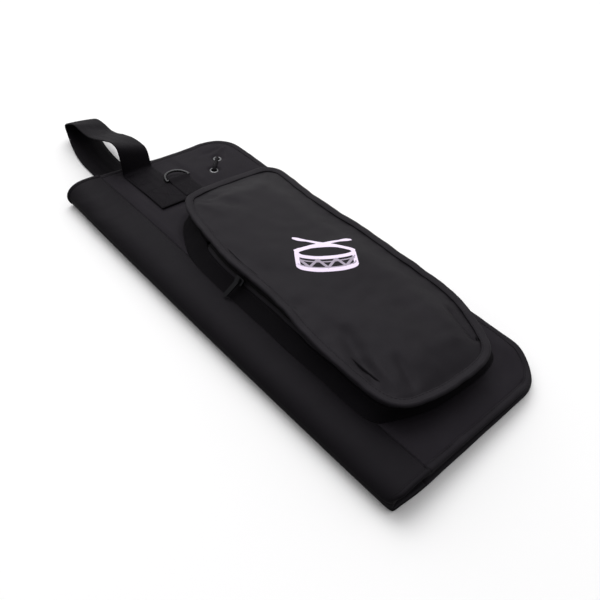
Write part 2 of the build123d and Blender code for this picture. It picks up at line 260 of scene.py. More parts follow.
def slab(name, poly, top, bot, step, xf, mats, holes=(), bot_mat=0, rim_mat=0):
    """Closed sheet: top(x, y) and bot(x, y) heights over a flat outline."""
    V, T = triangulate(poly, step, holes)
    n = len(V)
    wt = top(V[:, 0], V[:, 1])
    wb = bot(V[:, 0], V[:, 1], wt)
    A = xf(np.column_stack([V, wt]))
    B = xf(np.column_stack([V, wb]))
    count = {}
    for t in T:
        for k in range(3):
            e = (int(t[k]), int(t[(k + 1) % 3]))
            count[e] = count.get(e, 0) + 1
    rim = [e for e in count if (e[1], e[0]) not in count]
    faces = [list(map(int, t)) for t in T] + [[int(v) + n for v in t[::-1]] for t in T]
    mi = [0] * len(T) + [bot_mat] * len(T)
    uvv = np.vstack([V, V])
    luv = []
    for f in faces:
        luv += [uvv[v] for v in f]
    for a, b in rim:
        faces.append([b, a, a + n, b + n])
        luv += [V[b], V[a], V[a] + (1.5, 1.5), V[b] + (1.5, 1.5)]
        mi.append(rim_mat)
    return make(name, np.vstack([A, B]), faces, luv, mats, fix=True, midx=mi)


def catmull(pts, per=8, closed=False):
    pts = np.asarray(pts, float)
    n = len(pts)
    out = []
    segs = n if closed else n - 1
    for i in range(segs):
        if closed:
            p0, p1, p2, p3 = pts[(i - 1) % n], pts[i], pts[(i + 1) % n], pts[(i + 2) % n]
        else:
            p1, p2 = pts[i], pts[i + 1]
            p0 = pts[i - 1] if i > 0 else 2 * p1 - p2
            p3 = pts[i + 2] if i + 2 < n else 2 * p2 - p1
        for k in range(per):
            t = k / per
            out.append(0.5 * ((2 * p1) + (-p0 + p2) * t + (2 * p0 - 5 * p1 + 4 * p2 - p3) * t * t +
                              (-p0 + 3 * p1 - 3 * p2 + p3) * t ** 3))
    if not closed:
        out.append(pts[-1])
    return np.array(out)


def resample(pts, step=None, n=None, closed=False):
    pts = np.asarray(pts, float)
    Q = np.vstack([pts, pts[:1]]) if closed else pts
    s = np.zeros(len(Q))
    s[1:] = np.cumsum(np.linalg.norm(np.diff(Q, axis=0), axis=1))
    if n is None:
        n = max(2, int(round(s[-1] / step)) + (0 if closed else 1))
    t = np.linspace(0, s[-1], n + 1)[:-1] if closed else np.linspace(0, s[-1], n)
    return np.column_stack([np.interp(t, s, Q[:, k]) for k in range(Q.shape[1])])


def tangents(P, closed=False):
    P = np.asarray(P, float)
    if closed:
        t = np.roll(P, -1, 0) - np.roll(P, 1, 0)
    else:
        t = np.gradient(P, axis=0)
    return t / np.maximum(np.linalg.norm(t, axis=1, keepdims=True), 1e-9)


def capsules(name, centres, along, up, length, rad, mat, sink=0.0):
    """Small rounded stitches, one for each centre."""
    prof = [(-0.5, 0.0), (-0.42, 0.62), (-0.2, 1.0), (0.2, 1.0), (0.42, 0.62), (0.5, 0.0)]
    sides = 6
    V, Fc = [], []
    for c, a, u in zip(centres, along, up):
        a = a / np.linalg.norm(a)
        u = u - a * (u @ a)
        u = u / np.linalg.norm(u)
        s = np.cross(a, u)
        c = c - u * sink
        base = len(V)
        V.append(c + a * prof[0][0] * length)
        for px, pr in prof[1:-1]:
            for k in range(sides):
                an = 2 * math.pi * k / sides
                V.append(c + a * px * length + (s * math.cos(an) * 1.1 + u * math.sin(an)) * rad * pr)
        V.append(c + a * prof[-1][0] * length)
        last = len(V) - 1
        for k in range(sides):
            Fc.append([base, base + 1 + (k + 1) % sides, base + 1 + k])
        for r in range(len(prof) - 3):
            for k in range(sides):
                a0 = base + 1 + r * sides
                Fc.append([a0 + k, a0 + (k + 1) % sides, a0 + sides + (k + 1) % sides, a0 + sides + k])
        a0 = base + 1 + (len(prof) - 3) * sides
        for k in range(sides):
            Fc.append([a0 + k, a0 + (k + 1) % sides, last])
    luv = [((k * 0.7) % 5, (k * 1.3) % 5) for f in Fc for k in f]
    return make(name, V, Fc, luv, (mat,), fix=True)


def stitch_line(name, P, up, mat, pitch=3.3, length=2.4, rad=0.26, closed=False, sink=0.06):
    P = np.asarray(P, float)
    up = np.asarray(up, float)
    both = resample(np.hstack([P, up]), step=pitch, closed=closed)
    C, U = both[:, :3], both[:, 3:]
    return capsules(name, C, tangents(C, closed), U, length, rad, mat, sink)


def tube(name, path, rad, mat, sides=12, caps=True, up=(0.0, 0.0, 1.0), closed=False):
    path = np.asarray(path, float)
    t = tangents(path, closed)
    u = np.asarray(up, float)
    A, B = [], []
    for k in range(len(path)):
        u = u - t[k] * (u @ t[k])
        u = u / np.linalg.norm(u)
        A.append(np.cross(t[k], u))
        B.append(u.copy())
    sec = [(math.cos(a) * rad, math.sin(a) * rad) for a in np.linspace(0, 2 * math.pi, sides, endpoint=False)]
    return sweep(name, path, A, B, sec, (mat,), closed_path=closed, caps=caps)


def revolve(name, origin, axis, prof, mat, n=40, ref=(1, 0, 0)):
    """prof: (radius, height) closed profile turned about axis."""
    axis = np.asarray(axis, float) / np.linalg.norm(axis)
    r = np.asarray(ref, float)
    r = r - axis * (r @ axis)
    r /= np.linalg.norm(r)
    s = np.cross(axis, r)
    ang = np.linspace(0, 2 * math.pi, n, endpoint=False)
    pos = np.tile(np.asarray(origin, float), (n, 1))
    inw = np.array([r * math.cos(a) + s * math.sin(a) for a in ang])
    out = np.tile(axis, (n, 1))
    P = pos[:, None] + np.asarray(prof)[None, :, :1] * inw[:, None] + np.asarray(prof)[None, :, 1:] * out[:, None]
    m = len(prof)
    faces, luv = [], []
    for i in range(n):
        for j in range(m):
            faces.append([i * m + j, ((i + 1) % n) * m + j, ((i + 1) % n) * m + (j + 1) % m, i * m + (j + 1) % m])
            luv += [(i, j), (i + 1, j), (i + 1, j + 1), (i, j + 1)]
    return make(name, P.reshape(-1, 3), faces, luv, (mat,), fix=True)


def join(name, obs):
    """One object from several."""
    bm = bmesh.new()
    mats = []
    for o in obs:
        for m in o.data.materials:
            if m not in mats:
                mats.append(m)
    me = bpy.data.meshes.new(name)
    verts, faces, luv, mi = [], [], [], []
    for o in obs:
        base = len(verts)
        verts += [tuple(v.co / MM) for v in o.data.vertices]
        lay = o.data.uv_layers.active
        for p in o.data.polygons:
            faces.append([base + v for v in p.vertices])
            mi.append(mats.index(o.data.materials[p.material_index]))
            for li in p.loop_indices:
                luv.append(tuple(lay.data[li].uv / MM) if lay else (0, 0))
    bm.free()
    bpy.data.meshes.remove(me)
    for o in obs:
        m = o.data
        bpy.data.objects.remove(o)
        bpy.data.meshes.remove(m)
    return make(name, verts, faces, luv, mats, midx=mi)


# ---------------------------------------------------------------- materials
class Mat:
    def __init__(self, name):
        self.mat = bpy.data.materials.new(name)
        self.mat.use_nodes = True
        self.t = self.mat.node_tree
        self.b = self.t.nodes["Principled BSDF"]

    def new(self, kind, **kw):
        n = self.t.nodes.new(kind)
        for k, v in kw.items():
            setattr(n, k, v)
        return n

    def put(self, sock, val):
        if hasattr(val, "is_output") or isinstance(val, bpy.types.NodeSocket):
            self.t.links.new(val, sock)
        else:
            sock.default_value = val

    def math(self, op, a, b=0.0, c=0.0, clamp=False):
        n = self.new("ShaderNodeMath", operation=op, use_clamp=clamp)
        self.put(n.inputs[0], a)
        self.put(n.inputs[1], b)
        if op in ("MULTIPLY_ADD", "SMOOTH_MIN", "WRAP"):
            self.put(n.inputs[2], c)
        return n.outputs[0]

    def coord(self, kind="UV"):
        n = self.new("ShaderNodeTexCoord")
        return n.outputs[kind]

    def noise(self, vec, scale, detail=2.0, rough=0.5):
        n = self.new("ShaderNodeTexNoise")
        self.put(n.inputs["Vector"], vec)
        n.inputs["Scale"].default_value = scale
        n.inputs["Detail"].default_value = detail
        n.inputs["Roughness"].default_value = rough
        return n.outputs["Fac"]

    def ramp(self, fac, stops):
        n = self.new("ShaderNodeValToRGB")
        self.put(n.inputs[0], fac)
        r = n.color_ramp
        while len(r.elements) > 1:
            r.elements.remove(r.elements[-1])
        r.elements[0].position = stops[0][0]
        r.elements[0].color = (*stops[0][1], 1)
        for p, c in stops[1:]:
            e = r.elements.new(p)
            e.color = (*c, 1)
        return n.outputs[0]

    def mix(self, fac, a, b):
        n = self.new("ShaderNodeMix", data_type="RGBA")
        self.put(n.inputs[0], fac)
        self.put(n.inputs[6], (*a, 1) if isinstance(a, tuple) and len(a) == 3 else a)
        self.put(n.inputs[7], (*b, 1) if isinstance(b, tuple) and len(b) == 3 else b)
        return n.outputs[2]

    def bump(self, height, dist, strength=1.0, normal=None):
        n = self.new("ShaderNodeBump")
        n.inputs["Strength"].default_value = strength
        n.inputs["Distance"].default_value = dist
        self.put(n.inputs["Height"], height)
        if normal is not None:
            self.put(n.inputs["Normal"], normal)
        return n.outputs[0]

    def sep(self, vec):
        n = self.new("ShaderNodeSeparateXYZ")
        self.put(n.inputs[0], vec)
        return n.outputs

    def set(self, **kw):
        for k, v in kw.items():
            s = self.b.inputs[k.replace("_", " ")]
            self.put(s, v)


def grey(v, tint=0.0):
    return (v * (1.0 + 0.06 + tint), v * 0.93, v * (1.0 + 0.15 + tint))


def weave(m, vec, pitch, kind="plain"):
    """Height 0..1 of a woven face, from coordinates in metres."""
    s = m.sep(vec)
    k = 2 * math.pi / pitch
    if kind == "plain":
        a = m.math("SINE", m.math("MULTIPLY", s[0], k))
        b = m.math("SINE", m.math("MULTIPLY", s[1], k))
        return m.math("MULTIPLY_ADD", m.math("MULTIPLY", a, b), 0.5, 0.5)
    if kind == "twill":
        a = m.math("SINE", m.math("MULTIPLY", m.math("ADD", s[0], s[1]), k))
        b = m.math("SINE", m.math("MULTIPLY", m.math("SUBTRACT", s[0], s[1]), k * 0.5))
        return m.math("MULTIPLY_ADD", m.math("ADD", a, m.math("MULTIPLY", b, 0.35)), 0.35, 0.5)
    if kind == "rib":
        a = m.math("SINE", m.math("MULTIPLY", s[0], k))
        b = m.math("SINE", m.math("MULTIPLY", s[1], k * 0.55))
        return m.math("MULTIPLY_ADD", m.math("ADD", a, m.math("MULTIPLY", b, 0.3)), 0.38, 0.5)
    if kind == "chevron":
        saw = m.math("PINGPONG", s[1], 0.0048)
        a = m.math("SINE", m.math("MULTIPLY", m.math("ADD", s[0], m.math("MULTIPLY", saw, 0.9)), k))
        b = m.math("SINE", m.math("MULTIPLY", s[1], k * 1.3))
        return m.math("MULTIPLY_ADD", m.math("ADD", a, m.math("MULTIPLY", b, 0.25)), 0.4, 0.5)


def cloth_mat(name, base, pitch, kind="plain", rough=0.8, sheen=0.25, sheen_rough=0.45, bump=0.00006, spec=0.3,
              var=0.22, coord="UV", tint=0.0, lint=0.3, contrast=0.35):
    m = Mat(name)
    uv = m.coord(coord)
    h = weave(m, uv, pitch, kind)
    big = m.noise(uv, 38.0, 3.0, 0.55)
    fine = m.noise(uv, 900.0, 2.0, 0.6)
    tone = m.math("ADD", m.math("MULTIPLY", m.math("SUBTRACT", big, 0.5), var * 2.0),
                  m.math("MULTIPLY", m.math("SUBTRACT", fine, 0.5), var))
    tone = m.math("ADD", tone, m.math("MULTIPLY", m.math("SUBTRACT", h, 0.5), contrast))
    tone = m.math("ADD", tone, 0.5, clamp=True)
    lo, hi = base * 0.55, base * 1.5
    col = m.ramp(tone, [(0.0, grey(lo, tint)), (1.0, grey(hi, tint))])
    if lint:
        sp = m.noise(uv, 2600.0, 1.0, 0.5)
        sp = m.math("GREATER_THAN", sp, 0.79)
        col = m.mix(m.math("MULTIPLY", sp, lint), col, grey(base * 4.5, tint))
    m.put(m.b.inputs["Base Color"], col)
    m.put(m.b.inputs["Roughness"], m.math("MULTIPLY_ADD", fine, 0.12, rough - 0.06))
    m.b.inputs["Specular IOR Level"].default_value = spec
    m.b.inputs["Specular Tint"].default_value = (1.0, 0.955, 1.05, 1)
    m.b.inputs["Sheen Weight"].default_value = sheen
    m.b.inputs["Sheen Roughness"].default_value = sheen_rough
    m.b.inputs["Sheen Tint"].default_value = (1.0, 0.97, 1.0, 1)
    nb = m.bump(m.noise(uv, 140.0, 3.0, 0.6), 0.00022, 0.35)
    nb = m.bump(m.math("ADD", h, m.math("MULTIPLY", fine, 0.5)), bump, 1.0, nb)
    m.put(m.b.inputs["Normal"], nb)
    return m.mat


def metal_mat(name, color, rough, scratch=0.2, coord="Object", metallic=1.0, grime=0.5):
    m = Mat(name)
    v = m.coord(coord)
    n1 = m.noise(v, 900.0, 3.0, 0.6)
    n2 = m.noise(v, 160.0, 2.0, 0.5)
    dark = tuple(c * (1 - grime * 0.6) for c in color)
    m.put(m.b.inputs["Base Color"], m.mix(m.math("MULTIPLY", n2, grime), color, dark))
    m.b.inputs["Metallic"].default_value = metallic
    m.put(m.b.inputs["Roughness"], m.math("MULTIPLY_ADD", n1, scratch, rough))
    m.put(m.b.inputs["Normal"], m.bump(n1, 0.00002, 0.4))
    return m.mat


def plastic_mat(name, base, rough, coord="UV", spec=0.45):
    m = Mat(name)
    v = m.coord(coord)
    n = m.noise(v, 500.0, 2.0, 0.5)
    m.put(m.b.inputs["Base Color"], m.ramp(n, [(0.2, grey(base * 0.7)), (0.8, grey(base * 1.4))]))
    m.put(m.b.inputs["Roughness"], m.math("MULTIPLY_ADD", n, 0.2, rough - 0.1))
    m.b.inputs["Specular IOR Level"].default_value = spec
    m.put(m.b.inputs["Normal"], m.bump(n, 0.00002, 0.5))
    return m.mat


PACK = cloth_mat("pack_cloth_weave", 0.0132, 0.0009, "plain", rough=0.60, sheen=0.012, spec=0.048)
SPINE_CLOTH = cloth_mat("pack_cloth_spine", 0.0064, 0.0009, "plain", rough=0.62, sheen=0.012, spec=0.085)
LID_CLOTH = cloth_mat("pack_cloth_lid", 0.0062, 0.0009, "plain", rough=0.48, sheen=0.012, spec=0.105, tint=0.04)
# gusset cloth: the same nylon as the pack with a much darker base colour, painted shade for the recess under the lid's
# overhang
GUSSET_CLOTH_PAINTED_SHADE = cloth_mat("pack_cloth_gusset_painted_shade", 0.0034, 0.0009, "plain", rough=0.66, sheen=0.006, spec=0.05)
BIND = cloth_mat("binding_rib", 0.0095, 0.0011, "rib", rough=0.58, sheen=0.014, spec=0.09, bump=0.00014, lint=0.3,
                 var=0.5, contrast=0.6)
WEB = cloth_mat("webbing_chevron", 0.0066, 0.0021, "chevron", rough=0.60, sheen=0.010, spec=0.042, bump=0.00022,
                lint=0.1, contrast=0.6)
LID_BIND = cloth_mat("binding_rib_lid", 0.0092, 0.0011, "rib", rough=0.58, sheen=0.02, spec=0.12, bump=0.00016,
                     lint=0.3, var=0.5, contrast=0.6)
BIND_BACK = cloth_mat("binding_rib_back", 0.0085, 0.0011, "rib", rough=0.6, sheen=0.02, spec=0.16, bump=0.00009,
                      lint=0.15)
LINING = cloth_mat("lining_taffeta", 0.0075, 0.0006, "plain", rough=0.5, sheen=0.02, spec=0.2, lint=0.0)
TAPE = cloth_mat("zip_tape_twill", 0.0075, 0.0009, "twill", rough=0.66, sheen=0.02, spec=0.16, lint=0.0)
FOAM = cloth_mat("foam_cells", 0.09, 0.0012, "plain", rough=0.9, sheen=0.0, spec=0.2, coord="Object", lint=0.0)
THREAD = cloth_mat("sewing_thread", 0.0055, 0.0005, "rib", rough=0.55, sheen=0.01, spec=0.10, lint=0.0, bump=0.00004)
COIL = plastic_mat("zip_coil_nylon", 0.006, 0.42, coord="Object", spec=0.2)
CORD = cloth_mat("cord_braid", 0.0045, 0.0012, "twill", rough=0.66, sheen=0.01, spec=0.12, bump=0.0002, lint=0.0)
CHROME = metal_mat("chrome_plate", (0.14, 0.14, 0.145), 0.18, 0.12)
RINGM = metal_mat("nickel_ring", (0.050, 0.050, 0.052), 0.22, 0.12)
BLACKM = metal_mat("black_lacquered_metal", (0.024, 0.024, 0.026), 0.34, 0.2, grime=0.3)
PULLM = metal_mat("gunmetal_pull", (0.026, 0.026, 0.028), 0.38, 0.2, grime=0.4)
INK = cloth_mat("print_ink_white", 0.8, 0.0009, "plain", rough=0.6, sheen=0.0, spec=0.4, var=0.10, contrast=0.12,
                lint=0.0, bump=0.00004)
INK2 = cloth_mat("print_ink_grey", 0.33, 0.0009, "plain", rough=0.6, sheen=0.0, spec=0.4, var=0.25, contrast=0.3,
                 lint=0.0, bump=0.00004)

# ------------------------------------------------------------------ camera
R = ((0.74199722, -0.66855063, 0.04980147), (-0.45396227, -0.55571695, -0.696489),
     (0.49331368, 0.49418491, -0.71583719))
cam_data = bpy.data.cameras.new("camera")
cam = bpy.data.objects.new("camera", cam_data)
scene.collection.objects.link(cam)
right, down, fwd = (Vector(r) for r in R)
rot = Matrix((right, -down, -fwd)).transposed()
cam.matrix_world = Matrix.Translation(Vector((-0.32605201, -0.35039555, 0.46633508))) @ rot.to_4x4()
cam_data.sensor_width = 36.0
cam_data.lens = 669.85 / 600.0 * 36.0
cam_data.clip_start = 0.01
cam_data.clip_end = 20.0
scene.camera = cam

# ------------------------------------------------------------ outline paths
Y_HALF, X_EDGE, CR = 240.0, 104.0, 38.0
SEAM = -64.5


def edge_path(d, x_start=SEAM, step=3.0):
    """Points round the three free edges at inward offset d: (x, y), inward normal."""
    r = CR - d
    pts, nrm = [], []
    xs = np.arange(x_start, 66, step)
    for x in xs:
        pts.append((x, -(Y_HALF - d)))
        nrm.append((0, 1))
    for a in np.linspace(-90, 0, 19):
        ca, sa = math.cos(math.radians(a)), math.sin(math.radians(a))
        pts.append((66 + r * ca, -202 + r * sa))
        nrm.append((-ca, -sa))
    for y in np.arange(-202 + step, 202 - step * 0.5, step):
        pts.append((X_EDGE - d, y))
        nrm.append((-1, 0))
    for a in np.linspace(0, 90, 19):
        ca, sa = math.cos(math.radians(a)), math.sin(math.radians(a))
        pts.append((66 + r * ca, 202 + r * sa))
        nrm.append((-ca, -sa))
    for x in xs[::-1]:
        pts.append((x, Y_HALF - d))
        nrm.append((0, -1))
    return np.array(pts, float), np.array(nrm, float)


def edge_dist(x, y):
    x, y = np.asarray(x, float), np.abs(np.asarray(y, float))
    d = np.minimum(X_EDGE - x, Y_HALF - y)
    qx, qy = x - 66, y - 202
    corner = (qx > 0) & (qy > 0)
    return np.where(corner, CR - np.hypot(qx, qy), d)


def half_polygon(d, x0):
    p, _ = edge_path(d, x0, 4.0)
    n = max(2, int((p[-1][1] - p[0][1]) / 4.0))
    close = np.column_stack([np.full(n - 1, x0), np.linspace(p[-1][1], p[0][1], n + 1)[1:-1]])
    return np.vstack([p, close])


# ------------------------------------------------------------- pocket lines
FLANGE_W = [(-26.9, 122.3), (-36.5, 112.0), (-42.1, 97.5), (-47.5, 71.8), (-52.1, 43.3), (-55.1, 15.2), (-54.7, -7.4),
            (-54.4, -29.2), (-56.1, -56.1), (-60.9, -87.9), (-63.3, -114.5), (-64.0, -138.3), (-63.9, -160.4),
            (-62.8, -175.9), (-59.2, -188.3), (-51.7, -196.8), (-40.2, -202.2), (-21.4, -206.9), (1.2, -209.2),
            (27.4, -209.6), (45.3, -206.8), (57.2, -199.5), (65.5, -187.6), (72.6, -173.8), (83.4, -144.9),
            (87.0, -118.7), (86.6, -95.0), (87.2, -68.5), (87.5, -41.9), (87.6, -12.9), (84.6, 11.0), (83.6, 40.9),
            (85.0, 73.5), (87.0, 92.6), (84.6, 110.5), (71.8, 121.3), (43.1, 124.6), (11.8, 126.3), (-9.8, 125.2)]
BASE_L = [(-33, 118.5), (-44, 107), (-51, 97), (-62.5, 72), (-68.5, 45), (-70.0, 17), (-70.0, -7), (-70.0, -30),
          (-70.0, -57), (-70.0, -88), (-70.0, -115), (-70.2, -139), (-70.2, -160), (-69.2, -174), (-63.0, -185.0),
          (-51, -190.5), (-41, -195), (-22, -201.5), (1, -205), (27, -206), (46, -206), (61, -204), (72, -199.5),
          (78, -190), (82, -168), (84, -120), (84, -95), (84, -68), (84, -42), (84, -13), (84, 11), (84, 41), (84, 73),
          (83.5, 93), (80, 110), (69, 120), (42, 122.5), (12, 123), (-14, 122)]
fl = np.array(FLANGE_W)
fl[:, 0] = -104 + (fl[:, 0] + 104 - 25 * SN) / CS
bs = np.array(BASE_L, float)
both = catmull(np.hstack([fl, bs]), per=14, closed=True)
s_ = np.zeros(len(both) + 1)
s_[1:] = np.cumsum(np.linalg.norm(np.diff(np.vstack([both, both[:1]])[:, :2], axis=0), axis=1))
NP = 440
t_ = np.linspace(0, s_[-1], NP + 1)[:-1]
bb = np.vstack([both, both[:1]])
FL = np.column_stack([np.interp(t_, s_, bb[:, k]) for k in (0, 1)])
BS = np.column_stack([np.interp(t_, s_, bb[:, k]) for k in (2, 3)])


def soften(P, times):
    for _ in range(times):
        P = 0.25 * np.roll(P, 1, 0) + 0.5 * P + 0.25 * np.roll(P, -1, 0)
    return P


FL = soften(FL, 6)
BS = soften(BS, 10)
ft = tangents(FL, True)
FN = np.column_stack([-ft[:, 1], ft[:, 0]])      # inward: the outline runs anticlockwise
WALL_IN = 9.0
# along the near side toward the foot the wall stands straighter, in line with the slider's run
straight = smooth(-20, -140, FL[:, 1]) * smooth(-45, -56, FL[:, 0]) * smooth(-198, -182, FL[:, 1])
WT = soften(FL + FN * (WALL_IN + 6.5 * straight)[:, None], 8)
EMB_C = (19.0, -33.5)


def ray(x, y, px, py, ang, length, width, depth, taper=True):
    """A soft crease running from (px, py) at ang degrees: signed height."""
    ca, sa = math.cos(math.radians(ang)), math.sin(math.radians(ang))
    u = (x - px) * ca + (y - py) * sa
    v = -(x - px) * sa + (y - py) * ca
    k = np.clip(u / length, 0, 1)
    prof = np.exp(-(v / (width * (0.45 + 0.9 * k))) ** 2)
    along = smooth(-4, length * 0.12, u) * (1 - smooth(length * 0.45, length, u))
    return depth * prof * along


def valley(x, y, a, b, width, depth, fade=6.0):
    a, b = np.array(a, float), np.array(b, float)
    ab = b - a
    L = np.linalg.norm(ab)
    ab = ab / L
    u = (x - a[0]) * ab[0] + (y - a[1]) * ab[1]
    v = -(x - a[0]) * ab[1] + (y - a[1]) * ab[0]
    along = smooth(-fade, fade, u) * (1 - smooth(L - fade, L + fade, u))
    return depth * np.exp(-(v / width) ** 2) * along, v, along


LID_SEAM = 7.6       # from the flange's outer edge to the lid's own edge


def lid_edge_w(x, y):
    """Slow waves of the lid's rim."""
    P = np.column_stack([np.ravel(x), np.ravel(y)])
    w = 0.9 * vnoise(P, 42.0, 3.3) + 0.45 * vnoise(P, 17.0, 9.1)
    return 24.7 + w.reshape(np.shape(x))


def lid_w(x, y):
    """Height of the lid's outer face over the front half's plane."""
    x, y = np.asarray(x, float), np.asarray(y, float)
    P = np.column_stack([x, y])
    d = seg_dist(P, FL[::3])
    d = np.where(inside(P, FL[::2]), d, 0) - LID_SEAM
    d = np.maximum(d, 0)
    w = lid_edge_w(x, y)
    w = w + 2.5 * (1 - np.exp(-d / 9.0)) * (1.0 - 0.35 * smooth(20, 80, x))
    # broad crown over whatever is stuffed inside
    w = w + 5.2 * np.clip(1 - ((x - 30) / 84.0) ** 2, 0, 1) * smooth(0, 34, d)
    # slow unevenness of a stuffed, soft pocket
    w = w + (1.9 * vnoise(P, 70.0, 5.5) + 1.2 * vnoise(P * (1.0, 0.6), 30.0, 1.7) + 0.34 * vnoise(P, 13.0, 6.1)) * smooth(0, 25, d)
    # gathers fanning out of the handle-end corner
    for ang, ln, wd, dp in ((-26, 62, 5.0, 0.6), (-47, 55, 4.6, -0.6), (-75, 52, 5.2, 0.5), (-8, 48, 5.0, -0.5)):
        w = w + ray(x, y, -27, 108, ang, ln, wd, dp)
    v0, _, _ = valley(x, y, (-15, 110), (4, 70), 7.0, -2.2, 12.0)
    w = w + v0
    # soft upright folds over the near foot corner
    for a, b, wd, dp in (((-34, -112), (-49, -150), 8.0, -3.0), ((-46, -146), (-58, -180), 6.0, -2.6),
                         ((-22, -160), (-34, -190), 5.0, -2.2), ((-40, -150), (-44, -182), 4.0, 1.0),
                         ((6, -168), (2, -196), 5.0, -0.9), ((-44, -60), (-40, -110), 8.0, -1.4),
                         ((30, -120), (26, -170), 8.0, -1.0), ((-46, 30), (-40, -20), 8.0, -1.2)):
        v, _, _ = valley(x, y, a, b, wd, dp, 9.0)
        w = w + v
    # the far foot corner tucks down in a sharp fold
    v1, s1, a1 = valley(x, y, (60, -148), (50, -186), 2.6, -2.3)
    v2, s2, a2 = valley(x, y, (50, -184), (64, -197), 2.0, -1.6, 4.0)
    w = w + v1 + v2
    w = w - 0.35 * smooth(-1, 5, s1) * a1 * smooth(34, 8, s1)
    for ang, ln, wd, dp in ((-150, 50, 5.0, 0.6), (-132, 62, 5.0, -0.6)):
        w = w + ray(x, y, 74, 112, ang, ln, wd, dp)
    # short pulls along the near seam
    near = np.exp(-d / 7.0)
    w = w + 0.35 * near * np.sin(y / 3.1 + 2.0 * vnoise(P, 30.0, 7.7)) * smooth(0, 3, d)
    return w


# -------------------------------------------------------------- front panel
def front_w(x, y):
    x, y = np.asarray(x, float), np.asarray(y, float)
    P = np.column_stack([x, y])
    d = edge_dist(x, y)
    w = 0.25 + 1.4 * (1 - np.exp(-np.maximum(d - 6.4, 0) / 6.0))
    w = w * smooth(SEAM - 0.5, SEAM + 6, x) + 0.15
    pd = seg_dist(P, BS[::4])
    inn = inside(P, BS[::3])
    # flat under the pocket, a little groove where its wall is sewn on
    w = np.where(inn, np.minimum(w, 0.1), w)
    w = np.where(~inn, w * (0.25 + 0.75 * smooth(0, 7, pd)), w)
    flat = smooth(8, 0, np.maximum(np.abs(x + 12) - 30, 0)) * smooth(135, 146, y) * (1 - smooth(226, 234, y))
    w = w * (1 - 0.8 * flat)
    wr = 0.85 * vnoise(P, 46.0, 2.2) + 0.4 * vnoise(P, 17.0, 8.8)
    w = w + wr * smooth(8, 20, d) * np.where(inn, 0.0, smooth(0, 9, pd)) * (1 - flat)
    for ang, ln, wd, dp in ((200, 45, 3.0, 0.9), (222, 38, 2.6, -0.8), (180, 48, 2.8, -0.7), (245, 30, 2.6, 0.6)):
        w = w + ray(x, y, 92, 214, ang, ln, wd, dp) * (1 - flat)
    for gx, gy in ((47.0, 177.0), (66.0, 196.0)):
        g = np.hypot(x - gx, y - gy)
        w = np.where(g < 8.5, w * smooth(5.0, 8.5, g), w)
    return w


def FD(P):
    return droop(F(P))


def circle(cx, cy, r, n=24):
    a = np.linspace(0, 2 * math.pi, n, endpoint=False)
    return np.column_stack([cx + r * np.cos(a), cy + r * np.sin(a)])


GROM = ((47.0, 177.0), (66.0, 196.0))
holes = [circle(gx, gy, 3.3) for gx, gy in GROM]
ob = slab("front_panel_cloth", half_polygon(6.2, SEAM), front_w, lambda x, y, t: t - 0.8 - 0 * x, 2.6, FD, (PACK,), holes)
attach(ob, "front_half")
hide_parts("front_outer_cloth")
ob = slab("front_panel_foam", half_polygon(9.6, -84.0), lambda x, y: np.full(len(x), -1.0),
          lambda x, y, t: t - 1.8, 7.0, FD, (FOAM,), holes)
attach(ob, "front_half")
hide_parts("front_foam")


def lining_front(x, y):
    P = np.column_stack([x, y])
    return -3.35 - 0.5 * np.abs(vnoise(P, 60.0, 4.1)) * smooth(9, 24, edge_dist(x, y))


ob = slab("front_lining_sheet", half_polygon(9.3, -86.0), lambda x, y: np.full(len(x), -2.82),
          lambda x, y, t: lining_front(x, y), 5.0, FD, (LINING,), holes)
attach(ob, "front_half")
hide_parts("front_lining")


# --------------------------------------------------------------- back panel
def back_z(x, y):
    P = np.column_stack([x, y])
    w = 0.05 + 0.5 * np.abs(vnoise(P, 55.0, 6.1)) * smooth(0, 30, edge_dist(x, y))
    leg = (np.abs(x + 37) < 19.3) & (y > 144)
    return np.where(leg, 1.45, w)


ob = slab("back_panel_cloth", half_polygon(8.0, SEAM), lambda x, y: back_z(x, y) + 0.8, lambda x, y, t: t - 0.8, 4.0,
          lambda P: P, (PACK,))
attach(ob, "back_half")
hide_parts("back_outer_cloth")
ob = slab("back_panel_foam", half_polygon(9.6, -88.0), lambda x, y: np.full(len(x), 2.8),
          lambda x, y, t: np.full(len(x), 2.3), 8.0, lambda P: P, (FOAM,))
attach(ob, "back_half")
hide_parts("back_foam")
ob = slab("back_lining_sheet", half_polygon(9.3, -90.0),
          lambda x, y: 3.35 + 0.5 * np.abs(vnoise(np.column_stack([x, y]), 60.0, 2.6)) * smooth(9, 24, edge_dist(x, y)),
          lambda x, y, t: np.full(len(x), 2.82), 5.0, lambda P: P, (LINING,))
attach(ob, "back_half")
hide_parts("back_lining")

# -------------------------------------------------------------- spine strip
PROFILE = [(-64.5, 0.0), (-78, 0.0), (-90, 0.1), (-97.5, 0.9), (-101.8, 3.6), (-103.7, 8.0), (-103.9, 12.6),
           (-102.2, 17.2), (-98.2, 21.2), (-92, 23.9), (-84, 24.7), (-74, 24.2), (-64.5, 22.95)]
fine_prof = catmull(PROFILE, per=10)
split = 6 * 10
low_prof = resample(fine_prof[:split + 1], n=26)
up_prof = resample(fine_prof[split:], n=30)


